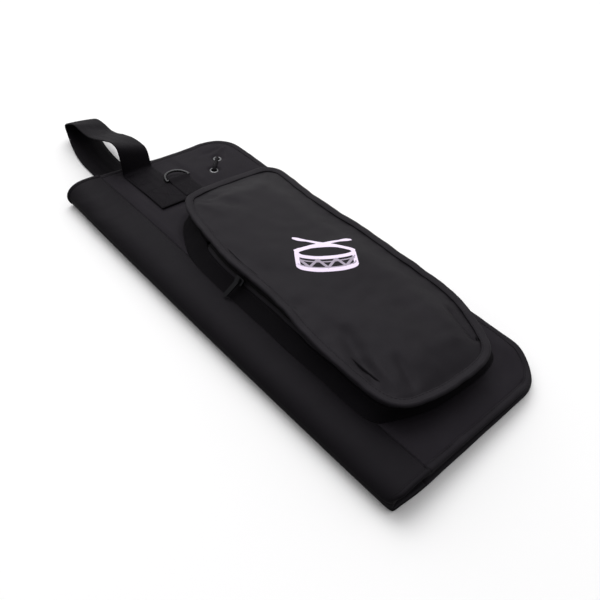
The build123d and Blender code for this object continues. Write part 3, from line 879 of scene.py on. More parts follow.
def spine_points(prof, ys, out=0.0, wr=1.0):
    t = tangents(prof)
    nrm = np.column_stack([-t[:, 1], t[:, 0]])       # outward for a path running -X then up and back
    P = np.zeros((len(prof), len(ys), 3))
    for k, (x, z) in enumerate(prof):
        P[k, :, 0] = x
        P[k, :, 1] = ys
        P[k, :, 2] = z
    side = np.clip((-80 - P[..., 0]) / 22, 0, 1)
    P[..., 0] -= 2.2 * (1 - (P[..., 1] / 240) ** 2) * side
    amp = 0.35 + 0.9 * smooth(120, 215, P[..., 1]) + 0.25 * smooth(-170, -225, P[..., 1])
    ends = smooth(240, 229, np.abs(P[..., 1]))
    w = vnoise(P * (1.0, 0.55, 1.0), 19.0, 4.4) * 0.9 + vnoise(P * (1, 0.8, 1), 48.0, 1.1) * 1.2
    top = smooth(3.0, 12.0, P[..., 2])
    edge = smooth(0, 5, -64.5 - P[..., 0])
    d = w * amp * ends * top * edge * wr + out
    # gathers fanning from the handle-end corner over the rounded edge
    for y0, dy, a in ((222, -20, 1.0), (206, -24, -0.9), (188, -22, 0.8), (171, -26, -0.7), (152, -26, 0.5)):
        line = y0 + dy * (P[..., 2] - 12) / 12
        d = d + a * np.exp(-((P[..., 1] - line) / 5.0) ** 2) * smooth(6, 16, P[..., 2]) * edge * ends * wr * 0.28
    P[..., 0] += nrm[:, None, 0] * d
    P[..., 2] += nrm[:, None, 1] * d
    # the foot corner is worn round, and its underside is drawn in
    P[..., 1] += 2.2 * smooth(-222, -240, P[..., 1]) * smooth(11.0, 2.5, P[..., 2]) * smooth(-66, -100, P[..., 0])
    cx, cy, rr = -104.0 + 12.0, -240.0 + 12.0, 12.0
    qx, qy = P[..., 0] - cx, P[..., 1] - cy
    far = np.hypot(qx, qy)
    sel = (qx < 0) & (qy < 0) & (far > rr)
    k = np.where(sel, rr / np.maximum(far, 1e-6), 1.0)
    P[..., 0] = cx + qx * k
    P[..., 1] = cy + qy * k
    P[..., 2] = np.maximum(P[..., 2], 0.0)
    return P, nrm


# outward must point away from the bag: check against the spine side
_t = tangents(up_prof)
SGN = 1.0 if (-_t[5][1]) < 0 else -1.0
ys = np.concatenate([[-239.4], np.arange(-237.5, 237.6, 2.5), [239.4]])


def spine_shell(name, prof, nodes):
    P, nrm = spine_points(prof, ys)
    ob = grid(name, P, None, (SPINE_CLOTH, LINING), flip=False, solid=0.0)
    # orient outward, then give it its thickness with the lining inside
    me = ob.data
    me.update()
    mid = me.polygons[len(me.polygons) // 2]
    c = mid.center
    away = Vector((c.x + 0.085, 0, c.z - 0.0125))
    if mid.normal.dot(away) < 0:
        me.flip_normals()
    mo = ob.modifiers.new("thickness", "SOLIDIFY")
    mo.thickness = 3.0 * MM
    mo.offset = -1
    mo.material_offset = 1
    mo.use_quality_normals = True
    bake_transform(ob)
    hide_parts(*nodes)
    return ob


spine_shell("spine_strip_upper", up_prof,
            ("front_spine_strip", "spine_wall", "spine_foam", "spine_lining"))
spine_shell("spine_strip_lower", low_prof,
            ("back_spine_strip",))

# ------------------------------------------------------------------ binding
# tape folded over the raw edge: (inward offset, height above the outer face)
BSEC_W = [(9.0, 0.20), (8.6, 0.62), (7.6, 0.72), (7.1, 0.50), (6.5, 0.72), (4.4, 0.92), (2.2, 0.80), (0.7, 0.35),
        (0.05, -0.5), (-0.12, -1.25), (0.1, -2.1), (0.9, -2.75), (3.0, -3.0), (6.4, -2.85), (7.0, -2.65), (7.5, -2.85),
        (8.6, -2.8), (9.0, -2.4)]
BSEC = [(d * 0.78 if d > 1 else d, w) for d, w in BSEC_W]
BSEC_END = [(d * 0.55 if d > 1 else d, w) for d, w in BSEC_W]
BSEC_BACK = [(d, min(w, 0.0) if w > 0 else w) for d, w in
             [(9.0, 0.0), (8.6, 0.0), (7.6, 0.0), (6.4, 0.0), (4.2, 0.0), (2.2, 0.0), (0.8, -0.2), (0.1, -0.8),
              (-0.1, -1.4), (0.1, -2.1), (0.9, -2.7), (3.0, -2.95), (6.4, -2.8), (7.0, -2.6), (7.5, -2.8),
              (8.6, -2.75), (9.0, -2.4)]]


def wobble(P, amp_xy, amp_z, seed):
    n1 = vnoise(P[:, 0], 38.0, seed)
    n2 = vnoise(P[:, 0], 26.0, seed + 5)
    n3 = vnoise(P[:, 0], 11.0, seed + 9)
    P = P.copy()
    d = P[:, P.shape[1] // 3] - P[:, 0]
    l = np.maximum(np.linalg.norm(d, axis=1, keepdims=True), 1e-6)
    P += (d / l * (n1 * amp_xy)[:, None])[:, None, :]
    P[..., 2] += (n2 * amp_z + n3 * amp_z * 0.4)[:, None]
    return P


def front_edge(d, step=3.0):
    p, n = edge_path(0.0, SEAM, step)
    pos = F(np.column_stack([p + n * d, np.full(len(p), 0.15)]))
    inw = F(np.column_stack([p + n, np.zeros(len(p))])) - F(np.column_stack([p, np.zeros(len(p))]))
    up = np.tile([SN, 0, CS], (len(p), 1))
    return pos, inw, up


pos, inw, up = front_edge(0.0)
ob = sweep("front_edge_binding", pos, inw, up, BSEC, (BIND,), post=lambda P: droop(wobble(P, 0.55, 0.7, 2.0)))
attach(ob, "front_half")
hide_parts("front_binding")
pos7, _, up7 = front_edge(5.5)
ob = stitch_line("front_binding_stitches", droop(pos7 + up7 * 0.62), up7, THREAD)
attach(ob, "front_half")

p, n = edge_path(0.0, SEAM, 3.0)
pos = np.column_stack([p, np.zeros(len(p))])
inw = np.column_stack([n, np.zeros(len(p))])
up = np.tile([0, 0, -1.0], (len(p), 1))


def rest_flat(P):
    P = wobble(P, 0.5, 0.4, 7.0)
    P[..., 2] = np.maximum(P[..., 2], 0.0)
    return P


ob = sweep("back_edge_binding", pos, inw, up, BSEC_BACK, (BIND_BACK,), post=rest_flat)
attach(ob, "back_half")
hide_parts("back_binding")
ob = stitch_line("back_binding_stitches", pos + inw * 7.0 + np.array([0, 0, 2.85]), np.tile([0, 0, 1.0], (len(p), 1)), THREAD)
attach(ob, "back_half")


def above(P):
    P = P.copy()
    P[..., 2] = np.maximum(P[..., 2], 0.0)
    return P


def spine_end(name, prof, ysign):
    pr = resample(np.asarray(prof), step=1.6)
    P, nrm = spine_points(pr, np.array([ysign * 239.9]), 0.0, 0.0)
    pos = P[:, 0]
    inw = np.tile([0, -ysign, 0.0], (len(pos), 1))
    out = np.column_stack([nrm[:, 0], np.zeros(len(pos)), nrm[:, 1]])
    # outward sense
    k = len(pos) // 2
    if out[k] @ (pos[k] - np.array([-85.0, 0, 12.5])) * 1.0 - out[k][1] < 0:
        out = -out
    ob = sweep(name, pos, inw, out, BSEC_END, (SPINE_CLOTH,), post=above)
    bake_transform(ob)
    return ob


for tag, sg in (("handle_end", 1), ("foot_end", -1)):
    spine_end("spine_binding_upper_" + tag, up_prof, sg)
    spine_end("spine_binding_lower_" + tag, low_prof, sg)

# seam between the spine strip and the front panel: top-stitched
yy = np.arange(-228, 229, 3.0)
for nm, xx in (("front_seam_stitches", SEAM - 2.4), ("front_seam_stitches_b", SEAM - 5.0)):
    zz = np.interp(xx, up_prof[-14:, 0], up_prof[-14:, 1])
    PP, _ = spine_points(np.array([(xx - 1, zz + 0.06), (xx, zz), (xx + 1, zz - 0.06)]), yy)
    ob = stitch_line(nm, PP[1] + np.array([0, 0, 0.02]), np.tile([SN, 0, CS], (len(yy), 1)), THREAD, rad=0.17)
    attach(ob, "front_half")

# ------------------------------------------------------------- main zipper
p10, n10 = edge_path(10.0, -96.0, 3.0)
p3_, _ = edge_path(3.6, -96.0, 3.0)
near_end = (smooth(203, 226, np.abs(p10[:, 1])) * smooth(-74, -56, p10[:, 0]))[:, None]
p10 = p10 + (p3_ - p10) * near_end
xz, yz = p10[:, 0], p10[:, 1]
front_under = FD(np.column_stack([p10, np.full(len(p10), -3.2)]))
mid = mid_z(xz)
mid = np.maximum(np.minimum(mid, front_under[:, 2] - 2.2), 4.4)


def wall(name, low, high, mat, thick, body, node):
    """Upright band along the zipper line from height low to high."""
    rows = 5
    P = []
    n3 = np.column_stack([n10, np.zeros(len(n10))])
    ring = []
    for side, order in ((-0.5, range(rows)), (0.5, range(rows - 1, -1, -1))):
        for r in order:
            k = r / (rows - 1)
            q = np.column_stack([xz, yz, low + (high - low) * k]) + n3 * thick * side
            ring.append(q)
    P = np.stack(ring, 1)
    ob = grid(name, P, None, (mat,), closed=True, caps=True, fix=True)
    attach(ob, body)
    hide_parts(node)
    return ob


wall("main_zip_front_tape", mid + 0.9, front_under[:, 2], TAPE, 0.8, "front_half", "main_zip_tape_front")
wall("main_zip_back_tape", np.full(len(mid), 3.1), mid - 0.9, TAPE, 0.8, "back_half", "main_zip_tape_back")


def coil(name, path, up, out, rise, shift, body, node, pitch=1.5):
    """A row of moulded coil teeth: small upright beads."""
    both = np.hstack([path, up, out])
    r = resample(both, step=pitch)
    C = r[:, :3] + r[:, 3:6] * rise
    t = tangents(C)
    if shift:
        C = C + t * shift
    U = r[:, 3:6]
    O = r[:, 6:9]
    ob = capsules(name, C + O * 0.15, U, O, 1.35, 0.55, COIL)
    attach(ob, body)
    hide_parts(node)
    return ob


base = np.column_stack([xz, yz, mid])
upz = np.tile([0, 0, 1.0], (len(base), 1))
outz = np.column_stack([-n10, np.zeros(len(n10))])
coil("main_zip_front_coil", base, upz, outz, 0.62, 0.0, "front_half", "main_zip_coil_front")
coil("main_zip_back_coil", base, upz, outz, -0.62, 0.75, "back_half", "main_zip_coil_back")

# ------------------------------------------------------------------ sleeves
DIV = (-26.0, 8.0, 42.0)


def sleeve(name, x0, x1, y0, y1, gap, xf, body, node, hem_node, sign):
    """gap(x): clear height from the lining to the sleeve's face."""
    poly = []
    step = 4.0
    for x in np.arange(x0 + 6, x1 - 6, step):
        poly.append((x, y0))
    for a in np.linspace(-90, 0, 7):
        poly.append((x1 - 6 + 6 * math.cos(math.radians(a)), y0 + 6 + 6 * math.sin(math.radians(a))))
    for y in np.arange(y0 + 6 + step, y1, step):
        poly.append((x1, y))
    poly.append((x1, y1))
    for x in np.arange(x1 - step, x0 + 1, -step):
        poly.append((x, y1 - 3.5 * math.sin(math.pi * (x1 - x) / (x1 - x0))))
    poly.append((x0, y1))
    for y in np.arange(y1 - step, y0 + 6, -step):
        poly.append((x0, y))
    for a in np.linspace(180, 270, 7)[:-1]:
        poly.append((x0 + 6 + 6 * math.cos(math.radians(a)), y0 + 6 + 6 * math.sin(math.radians(a))))
    poly = np.array(poly)

    def h(x, y):
        P = np.column_stack([x, y])
        side = np.minimum(np.minimum(x - x0, x1 - x), y - y0)
        r = 1 - np.exp(-np.maximum(side, 0) / 5.0)
        div = np.ones(len(x))
        for dx in DIV:
            div = div * (1 - 0.8 * np.exp(-((x - dx) / 3.2) ** 2) * (1 - smooth(y1 - 34, y1 - 12, y)))
        w = gap(x) * r * div * (0.86 + 0.1 * vnoise(P, 40.0, 3.0))
        return 3.55 + 0.8 + w

    ob = slab(name, poly, lambda x, y: sign * h(x, y), lambda x, y, t: t - sign * 0.8, 4.0, xf, (LINING,))
    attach(ob, body)
    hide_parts(node)
    # hem: a folded band along the mouth
    xs = np.arange(x0 + 1.5, x1 - 1.4, 3.0)
    yb = y1 - 3.5 * np.sin(np.pi * (x1 - xs) / (x1 - x0))
    ring = []
    secs = [(0.6, 0.0), (0.5, 0.5), (-1, 0.75), (-5, 0.72), (-9, 0.7), (-10, 0.4), (-10, -0.1), (-5, -0.05), (-1, -0.9),
            (0.3, -0.8)]
    for dy, dw in secs:
        Y = yb + dy
        ring.append(np.column_stack([xs, Y, sign * (h(xs, Y) + dw)]))
    P = xf(np.stack(ring, 1))
    ob2 = grid(name.replace("sleeve", "sleeve_hem"), P, None, (BIND,), closed=True, caps=True, fix=True)
    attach(ob2, body)
    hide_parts(hem_node)
    lines = []
    for dx in DIV:
        yl = np.arange(y0 + 4, y1 - 26, 3.0)
        q = xf(np.column_stack([np.full(len(yl), dx), yl, sign * (h(np.full(len(yl), dx), yl) + 0.12)]))
        q0 = xf(np.array([[dx, 0, 0.0], [dx, 0, sign * 1.0]]))
        lines.append(stitch_line(name + "_s", q, np.tile(q0[1] - q0[0], (len(yl), 1)), THREAD))
    st = join(name + "_divider_stitches", lines)
    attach(st, body)


sleeve("back_sleeve_cloth", -60.0, 76.0, -222.0, 150.0, lambda x: np.maximum(mid_z(x) - 1.7 - 4.6, 0.5), lambda P: np.asarray(P, float),
       "back_half", "back_stick_sleeve", "back_sleeve_hem", 1.0)


def fgap(x):
    return np.maximum((25.2 - (x + 104) * math.tan(SLOPE)) - mid_z(x) - 1.7 - 4.9, 0.5)


sleeve("front_sleeve_cloth", -60.0, 76.0, -222.0, 70.0, fgap, FD, "front_half", "front_stick_sleeve", "front_sleeve_hem", -1.0)

# ----------------------------------------------------------- pocket gusset
ZIP_Y = 59.0
in_zip = (BS[:, 1] < ZIP_Y) & (BS[:, 0] < 78.0)
zi = np.where(in_zip)[0]
zi = np.arange(zi.min(), zi.max() + 1)


def wall_point(i, w, off=0.0):
    """Point on the pocket wall over outline index i at height w, pushed out by off."""
    i = np.asarray(i)
    k = w / 24.0
    b, t = BS[i % NP], WT[i % NP]
    n = FN[i % NP]
    p = b + (t - b) * np.asarray(k)[..., None]
    flare = 0.9 * np.exp(-np.asarray(w) / 1.8) - 0.9 * np.sin(np.pi * np.clip(k, 0, 1))
    p = p - n * (flare + off)[..., None] if np.ndim(flare + off) else p - n * (flare + off)
    return p


def gusset_rows(idx, w0, w1, rows, off=0.0, wr=1.0):
    w0 = np.broadcast_to(w0, (len(idx),)).astype(float)
    w1 = np.broadcast_to(w1, (len(idx),)).astype(float)
    out = []
    for r in range(rows):
        k = r / (rows - 1)
        w = w0 + (w1 - w0) * k
        p = wall_point(idx, w, np.full(len(idx), off))
        q = np.column_stack([p, w])
        damp = np.sin(np.pi * np.clip(w / 24, 0, 1))
        a = 0.8 * vnoise(q * (1, 1, 0.6), 24.0, 12.0) + 0.5 * vnoise(q * (1, 1, 0.4), 10.0, 3.0)
        q[:, :2] -= FN[idx % NP] * (a * damp * wr)[:, None]
        out.append(q)
    return F(np.stack(out, 1))


def gusset_piece(name, idx, w0, w1, rows, mats, thick, closed_loop, off=0.0):
    P = gusset_rows(idx, w0, w1, rows, off)
    s = np.zeros(len(idx) + 1)
    s[1:] = np.cumsum(np.full(len(idx), 2.1))
    vv = np.linspace(0, 24.0 * rows / 12.0, rows)
    if closed_loop:
        n, m = P.shape[:2]
        faces, luv = [], []
        for i in range(n):
            for j in range(m - 1):
                q = [(i, j), (i + 1, j), (i + 1, j + 1), (i, j + 1)]
                faces.append([(a % n) * m + b for a, b in q])
                luv += [(s[a], vv[b]) for a, b in q]
        ob = make(name, P.reshape(-1, 3), faces, luv, mats)
    else:
        uv = np.stack(np.meshgrid(s[:-1], vv, indexing="ij"), -1)
        ob = grid(name, P, uv, mats)
    me = ob.data
    me.update()
    f = me.polygons[len(me.polygons) // 3]
    c = f.center
    # the outline centre is about (10, -45)
    if f.normal.dot(Vector((c.x - 0.010, c.y + 0.045, 0.0))) < 0:
        me.flip_normals()
    mo = ob.modifiers.new("thickness", "SOLIDIFY")
    mo.thickness = thick * MM
    mo.offset = -1
    mo.material_offset = 1 if len(mats) > 1 else 0
    return ob


allidx = np.arange(NP)
ramp_ = np.array([1.0 if z else 0.0 for z in in_zip])
for _ in range(3):
    ramp_ = 0.25 * np.roll(ramp_, 1) + 0.5 * ramp_ + 0.25 * np.roll(ramp_, -1)
SPLIT_W = 16.35
low_top = SPLIT_W - (SPLIT_W - 12.6) * ramp_
# both gusset bands use the darker gusset cloth, whose colour is painted shade under the lid
ob = gusset_piece("pocket_gusset_cloth", allidx, 0.0, low_top, 11, (GUSSET_CLOTH_PAINTED_SHADE, LINING), 1.0, True)
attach(ob, "front_half")
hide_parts("pocket_gusset")


def cover(ob, slot_name, *nodes):
    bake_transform(ob)
    if nodes:
        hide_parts(*nodes)
    return ob


hi_bot = SPLIT_W + (20.0 - SPLIT_W) * ramp_
ob = gusset_piece("pocket_gusset_upper_cloth", allidx, hi_bot, 24.6, 7, (GUSSET_CLOTH_PAINTED_SHADE, LINING), 1.0, True)
cover(ob, "pack_cloth", "pocket_gusset_upper")
ob = gusset_piece("pocket_zip_lower_tape", zi, 12.0, 15.6, 4, (TAPE,), 0.8, False, off=-0.25)
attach(ob, "front_half")
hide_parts("pocket_zip_tape_lower")
ob = gusset_piece("pocket_zip_upper_tape", zi, 17.1, 20.6, 4, (TAPE,), 0.8, False, off=-0.25)
cover(ob, "zip_tape", "pocket_zip_tape_upper")


def pocket_coil(name, w, shift, cover_side, node):
    P = gusset_rows(zi, np.full(len(zi), w), np.full(len(zi), w), 2, off=0.25)[:, 0]
    Q = gusset_rows(zi, np.full(len(zi), w + 1.0), np.full(len(zi), w + 1.0), 2, off=0.25)[:, 0]
    up = Q - P
    out = np.column_stack([-FN[zi % NP], np.zeros(len(zi))])
    r = resample(np.hstack([P, up, out]), step=1.35)
    C = r[:, :3]
    t = tangents(C)
    C = C + t * shift
    ob = capsules(name, C, r[:, 3:6], r[:, 6:9], 1.45, 0.6, COIL)
    if cover_side:
        cover(ob, "zip_coil", node)
    else:
        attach(ob, "front_half")
        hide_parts(node)
    return ob


pocket_coil("pocket_zip_lower_coil", 15.75, 0.0, False, "pocket_zip_coil_lower")
pocket_coil("pocket_zip_upper_coil", 16.95, 0.67, True, "pocket_zip_coil_upper")

# base seam of the pocket: stitches
q = gusset_rows(allidx, np.full(NP, 1.1), np.full(NP, 1.1), 2, off=0.35, wr=0.2)[:, 0]
outw = np.column_stack([-FN, np.full(NP, 0.5)])
ob = stitch_line("pocket_base_stitches", q, outw, THREAD, pitch=3.2, closed=True)
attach(ob, "front_half")
q = gusset_rows(zi, np.full(len(zi), 10.9), np.full(len(zi), 10.9), 2, off=0.06)[:, 0]
ob = stitch_line("pocket_zip_lower_stitches", q, np.column_stack([-FN[zi % NP], np.zeros(len(zi))]), THREAD, pitch=3.0, length=2.2)
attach(ob, "front_half")
q = gusset_rows(zi, np.full(len(zi), 21.6), np.full(len(zi), 21.6), 2, off=0.06)[:, 0]
ob = stitch_line("pocket_zip_upper_stitches", q, np.column_stack([-FN[zi % NP], np.zeros(len(zi))]), THREAD, pitch=3.0, length=2.2)
cover(ob, "cord")

# -------------------------------------------------------------- pocket lid
lid_poly = (FL + FN * (LID_SEAM - 1.0))[::2]
ob = slab("pocket_lid_cloth", lid_poly, lid_w, lambda x, y, t: t - 1.2, 2.1, F, (LID_CLOTH, LINING), bot_mat=1)
cover(ob, "pack_cloth", "pocket_lid")

LSEC_W = [(10.3, 0.1), (10.1, 0.75), (9.2, 0.95), (8.6, 0.8), (8.0, 1.0), (5.6, 1.2), (3.2, 1.15), (1.5, 1.25), (0.5, 0.95),
        (-0.1, 0.2), (-0.1, -0.7), (0.5, -1.25), (2.5, -1.45), (6.0, -1.35), (9.0, -1.2), (10.1, -1.0)]

LSEC = [(d * 0.80 if d > 1 else d, w + (0.35 if 1 < d < 5 and w > 0 else 0.0)) for d, w in LSEC_W]


def flange_pts():
    w = lid_edge_w(FL[:, 0], FL[:, 1])
    n1 = np.array([noise.noise(Vector((a * 0.045 + 3, b * 0.045, 1.7))) for a, b in FL])
    n2 = np.array([noise.noise(Vector((a * 0.11 + 9, b * 0.11, 4.2))) for a, b in FL])
    pos = np.column_stack([FL + FN * (n2 * 0.5)[:, None], w + n1 * 0.8])
    return pos, n1, n2


fp, n1, n2 = flange_pts()
pos = F(fp)
inw = F(np.column_stack([FL + FN, np.zeros(NP)])) - F(np.column_stack([FL, np.zeros(NP)]))
tilt = (0.05 - n1 * 0.09)[:, None]
upv = np.tile([SN, 0, CS], (NP, 1))
inw2 = inw + upv * tilt
ob = sweep("pocket_lid_edge_binding", pos, inw2, upv, LSEC, (LID_BIND,), closed_path=True)
cover(ob, "binding_tape", "pocket_lid_binding")
q = pos + inw2 * 6.9 + upv * 0.9
ob = stitch_line("pocket_lid_stitches", q, upv, THREAD, closed=True, pitch=3.4)
cover(ob, "cord")

# ------------------------------------------------------------------ emblem
ea = math.atan2(-38.2, 53.3)
EX = np.array([math.cos(ea), math.sin(ea)])
EY = np.array([-math.sin(ea), math.cos(ea)])


def ink(name, strokes, mat):
    V, Fc = [], []
    for pts, width, closed in strokes:
        pts = resample(np.array(pts, float), step=1.0, closed=closed)
        t = tangents(pts, closed)
        nn = np.column_stack([-t[:, 1], t[:, 0]])
        wd = np.broadcast_to(width, (len(pts),)) if np.ndim(width) == 0 else np.interp(np.linspace(0, 1, len(pts)), np.linspace(0, 1, len(width)), width)
        base = len(V)
        for p, nv, w in zip(pts, nn, wd):
            V.append(p + nv * w / 2)
            V.append(p - nv * w / 2)
        k = len(pts)
        for i in range(k if closed else k - 1):
            a, b = base + 2 * i, base + 2 * ((i + 1) % k)
            Fc.append([a, a + 1, b + 1, b])
    V = np.array(V)
    xy = np.array(EMB_C) + V[:, :1] * EX + V[:, 1:] * EY
    xl = -104 + (xy[:, 0] + 104 - 26 * SN) / CS
    w = lid_w(xl, xy[:, 1])
    P = F(np.column_stack([xl, xy[:, 1], w + 0.16]))
    Q = F(np.column_stack([xl, xy[:, 1], w + 0.02]))
    n = len(P)
    faces = []
    for f in Fc:
        faces.append(f)
        faces.append([v + n for v in f[::-1]])
    luv = [(V[v % n][0], V[v % n][1]) for f in faces for v in f]
    ob = make(name, np.vstack([P, Q]), faces, luv, (mat,))
    # face up
    if sum(ob.data.polygons[k].normal.z for k in range(0, 20, 2)) < 0:
        ob.data.flip_normals()
    return ob


def ell(rx, ry, cx=0.0, cy=0.0, a0=0, a1=360, n=60):
    a = np.radians(np.linspace(a0, a1, n, endpoint=(a1 - a0) < 360))
    return np.column_stack([cx + rx * np.cos(a), cy + ry * np.sin(a)])


stick_w = [3.0, 5.0, 4.6, 4.6, 4.6, 4.5, 4.4, 4.2, 3.8, 3.2, 2.6, 3.6, 4.2, 2.2]
strokes_white = [(ell(27, 8.5, 0, 2.5), 4.2, True), ([(-27, 2), (-27, -13.5)], 4.2, False), ([(27, 2), (27, -13.5)], 4.2, False),
                 (ell(27, 8.5, 0, -13.5, 180, 360), 4.6, False),
                 ([(29, 5), (-29, 24)], stick_w, False), ([(-29, 5), (29, 24)], stick_w, False)]
zig = [(-26, -5.5), (-17, -17.5), (-8.5, -8.0), (0, -19.5), (8.5, -8.0), (17, -17.5), (26, -5.5)]
strokes_grey = [(zig, 2.6, False), (ell(27, 8.5, 0, -3.0, 180, 360), 1.4, False), (ell(27, 8.5, 0, -10.6, 180, 360), 1.4, False)]
for nm, st, mt in (("lid_emblem_white", strokes_white, INK), ("lid_emblem_grey", strokes_grey, INK2)):
    ob = ink(nm, st, mt)
    cover(ob, "cord")

# ------------------------------------------------------------------- handle
HX = -43.0
leg_z = 25.2 + (11.7 - 25.2) * (HX + 19 + 104) / 208.0
front_path = []
for y in (146.0, 158, 170, 182, 194, 206, 216, 222):
    q = droop(F(np.array([HX + 19, y, 1.7])))
    front_path.append((float(q[1]), float(q[2]), HX))
front_path += [(224.6, leg_z + 2.4, HX), (226.0, 29.5, HX), (227.2, 36.0, HX), (229.0, 42.2, HX), (232.4, 45.8, HX),
               (240.0, 46.7, HX), (252.0, 44.7, HX), (263.0, 41.6, HX), (281.0, 35.3, HX), (296.0, 30.2, HX),
               (312.0, 28.0, HX), (326.0, 29.0, HX), (340.0, 26.2, HX), (349.0, 22.4, HX), (355.4, 18.0, HX + 0.5),
               (357.4, 13.6, HX + 1)]
back_path = [(357.4, 13.6, HX + 1), (354.4, 9.2, HX + 0.5), (346.0, 6.4, HX - 2), (332.0, 4.4, HX - 6),
             (314.0, 3.2, HX - 10), (296.0, 2.4, HX - 12.4), (276.0, 1.6, HX - 13), (256.0, 0.9, HX - 13), (240.4, 0.75, HX - 13),
             (215.0, 0.72, HX - 13), (190.0, 0.72, HX - 13), (165.0, 0.72, HX - 13), (146.0, 0.72, HX - 13)]
WSEC = [(0.0, 0.0), (0.12, 0.5), (0.7, 0.78), (4, 0.82), (10, 0.8), (19, 0.8), (28, 0.8), (34, 0.82), (37.3, 0.78),
        (37.88, 0.5), (38.0, 0.0), (37.88, -0.5), (37.3, -0.72), (34, -0.72), (28, -0.7), (19, -0.7), (10, -0.7),
        (4, -0.72), (0.7, -0.72), (0.12, -0.5)]


def strap(name, path, tilt_fn=None, post=None):
    p3 = np.array([(x0, y, z) for y, z, x0 in path], float)
    c = resample(catmull(p3, per=10), step=2.0)
    t = tangents(c)
    X = np.tile([1.0, 0, 0], (len(c), 1))
    if tilt_fn is not None:
        X = tilt_fn(c, X)
    N = np.cross(X, t)
    N /= np.linalg.norm(N, axis=1, keepdims=True)
    return sweep(name, c, X, N, WSEC, (WEB,), post=post), c, N


def lean_x(c, X):
    """Sewn flat on the sloping front, level once it is off it."""
    k = (1 - smooth(222, 236, c[:, 1])) * (c[:, 2] < 49.9)
    X = X.copy()
    X[:, 0] = np.cos(SLOPE * k)
    X[:, 2] = -np.sin(SLOPE * k)
    return X


LEAN_Y = [222, 224.5, 226.9, 229.4, 232.7, 240, 252, 263, 281, 296, 312, 326, 340, 352, 357.4]
LEAN_A = [0.0, 3.0, 6.0, 7.8, 8.4, 8.4, 6.8, 5.2, 4.2, 5.0, 6.3, 5.9, 3.5, 2.6, 1.5]


def front_post(P):
    c = P.mean(1)
    s = (P[..., 0] - c[:, None, 0]) / 19.0
    a = np.interp(c[:, 1], LEAN_Y, LEAN_A)[:, None]
    up_leg = (smooth(223.0, 226.5, c[:, 1]) * (1 - smooth(231, 240, c[:, 1])))[:, None]
    out = strap_post(P)
    out[..., 2] -= s * a
    out[..., 1] += s * 1.9 * up_leg
    return out


def strap_post(P):
    """A worn strap: edges curl a little and the loop twists slightly."""
    c = P.mean(1)
    s = (P[..., 0] - c[:, None, 0]) / 19.0
    loose = smooth(236, 262, c[:, 1])[:, None]
    n = vnoise(c, 60.0, 3.1)[:, None] * 2.2
    out = P.copy()
    out[..., 2] += loose * (-0.7 * s * s + 0.35 + n * s * 0.6)
    return out


fp_ = [(y, z + (19 * math.sin(SLOPE) if y < 223 else 0.0), x) for y, z, x in front_path]
ob, hc, hn = strap("handle_front_strap", fp_, lean_x, front_post)
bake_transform(ob)
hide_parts("handle_front_leg", "handle_loop")


def back_post(P):
    c = P.mean(1)
    s = (P[..., 0] - c[:, None, 0]) / 19.0
    P = strap_post(P)
    P[..., 2] -= s * (1.5 * smooth(325, 357, c[:, 1]))[:, None]
    P[..., 2] = np.maximum(P[..., 2], 0.0)
    return P


ob, hb, hbn = strap("handle_back_strap", back_path, None, back_post)
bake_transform(ob)
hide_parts("handle_back_leg")


def box_x(name, x0, x1, y0, y1, xf, w, body, sgn=1.0):
    """Sewn square with a cross in it."""
    lines = []
    a, b, c, d = (x0, y0), (x1, y0), (x1, y1), (x0, y1)
    up0 = xf(np.array([[0, 0, 0.0], [0, 0, sgn]]))
    upn = up0[1] - up0[0]
    for p, q in ((a, b), (b, c), (c, d), (d, a), (a, c), (b, d)):
        L = math.dist(p, q)
        k = np.linspace(0, 1, max(2, int(L / 2)))
        pts = np.column_stack([p[0] + (q[0] - p[0]) * k, p[1] + (q[1] - p[1]) * k, np.full(len(k), w)])
        lines.append(stitch_line("s", xf(pts), np.tile(upn, (len(k), 1)), THREAD, pitch=2.7, length=2.2, rad=0.26))
    st = join(name, lines)
    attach(st, body)


box_x("handle_front_stitches", HX + 3, HX + 35, 149, 181, FD, 2.55, "front_half")
box_x("handle_front_stitches_b", HX + 3, HX + 35, 196, 219, FD, 2.55, "front_half")
box_x("handle_back_stitches", HX - 10, HX + 22, 149, 181, lambda P: np.asarray(P, float), 0.0, "back_half", -1.0)

# ------------------------------------------------------------ D-ring and tab
DX, DY, DW = 2.5, 184.0, 2.9
ty = np.concatenate([np.linspace(150.5, 178, 12), np.linspace(180, 183.5, 3)])
loop_c = []
for y in ty:
    loop_c.append((y, 2.35 if y < 176 else 2.35 + 2.3 * smooth(176, 184, y)))
pts = [(y, w) for y, w in loop_c]
for a in np.linspace(80, -80, 11):
    pts.append((DY + 2.35 * math.cos(math.radians(a)), DW + 2.35 * math.sin(math.radians(a))))
for y in np.linspace(183, 150.5, 12):
    pts.append((y, 0.75))
c = np.array([(DX - 12.3, y, w) for y, w in pts])
c = resample(c, step=1.2)
t = tangents(c)
X = np.tile([1.0, 0, 0], (len(c), 1))
N = np.cross(X, t)
WT2 = [(x * 24.6 / 38.0, w) for x, w in WSEC]


def tab_xf(P):
    return FD(P)


ob = sweep("d_ring_webbing_tab", c, X, N, WT2, (WEB,), post=tab_xf)
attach(ob, "front_half")
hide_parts("d_ring_tab")
box_x("d_ring_tab_stitches", DX - 9.5, DX + 9.5, 153, 172, FD, 3.18, "front_half")

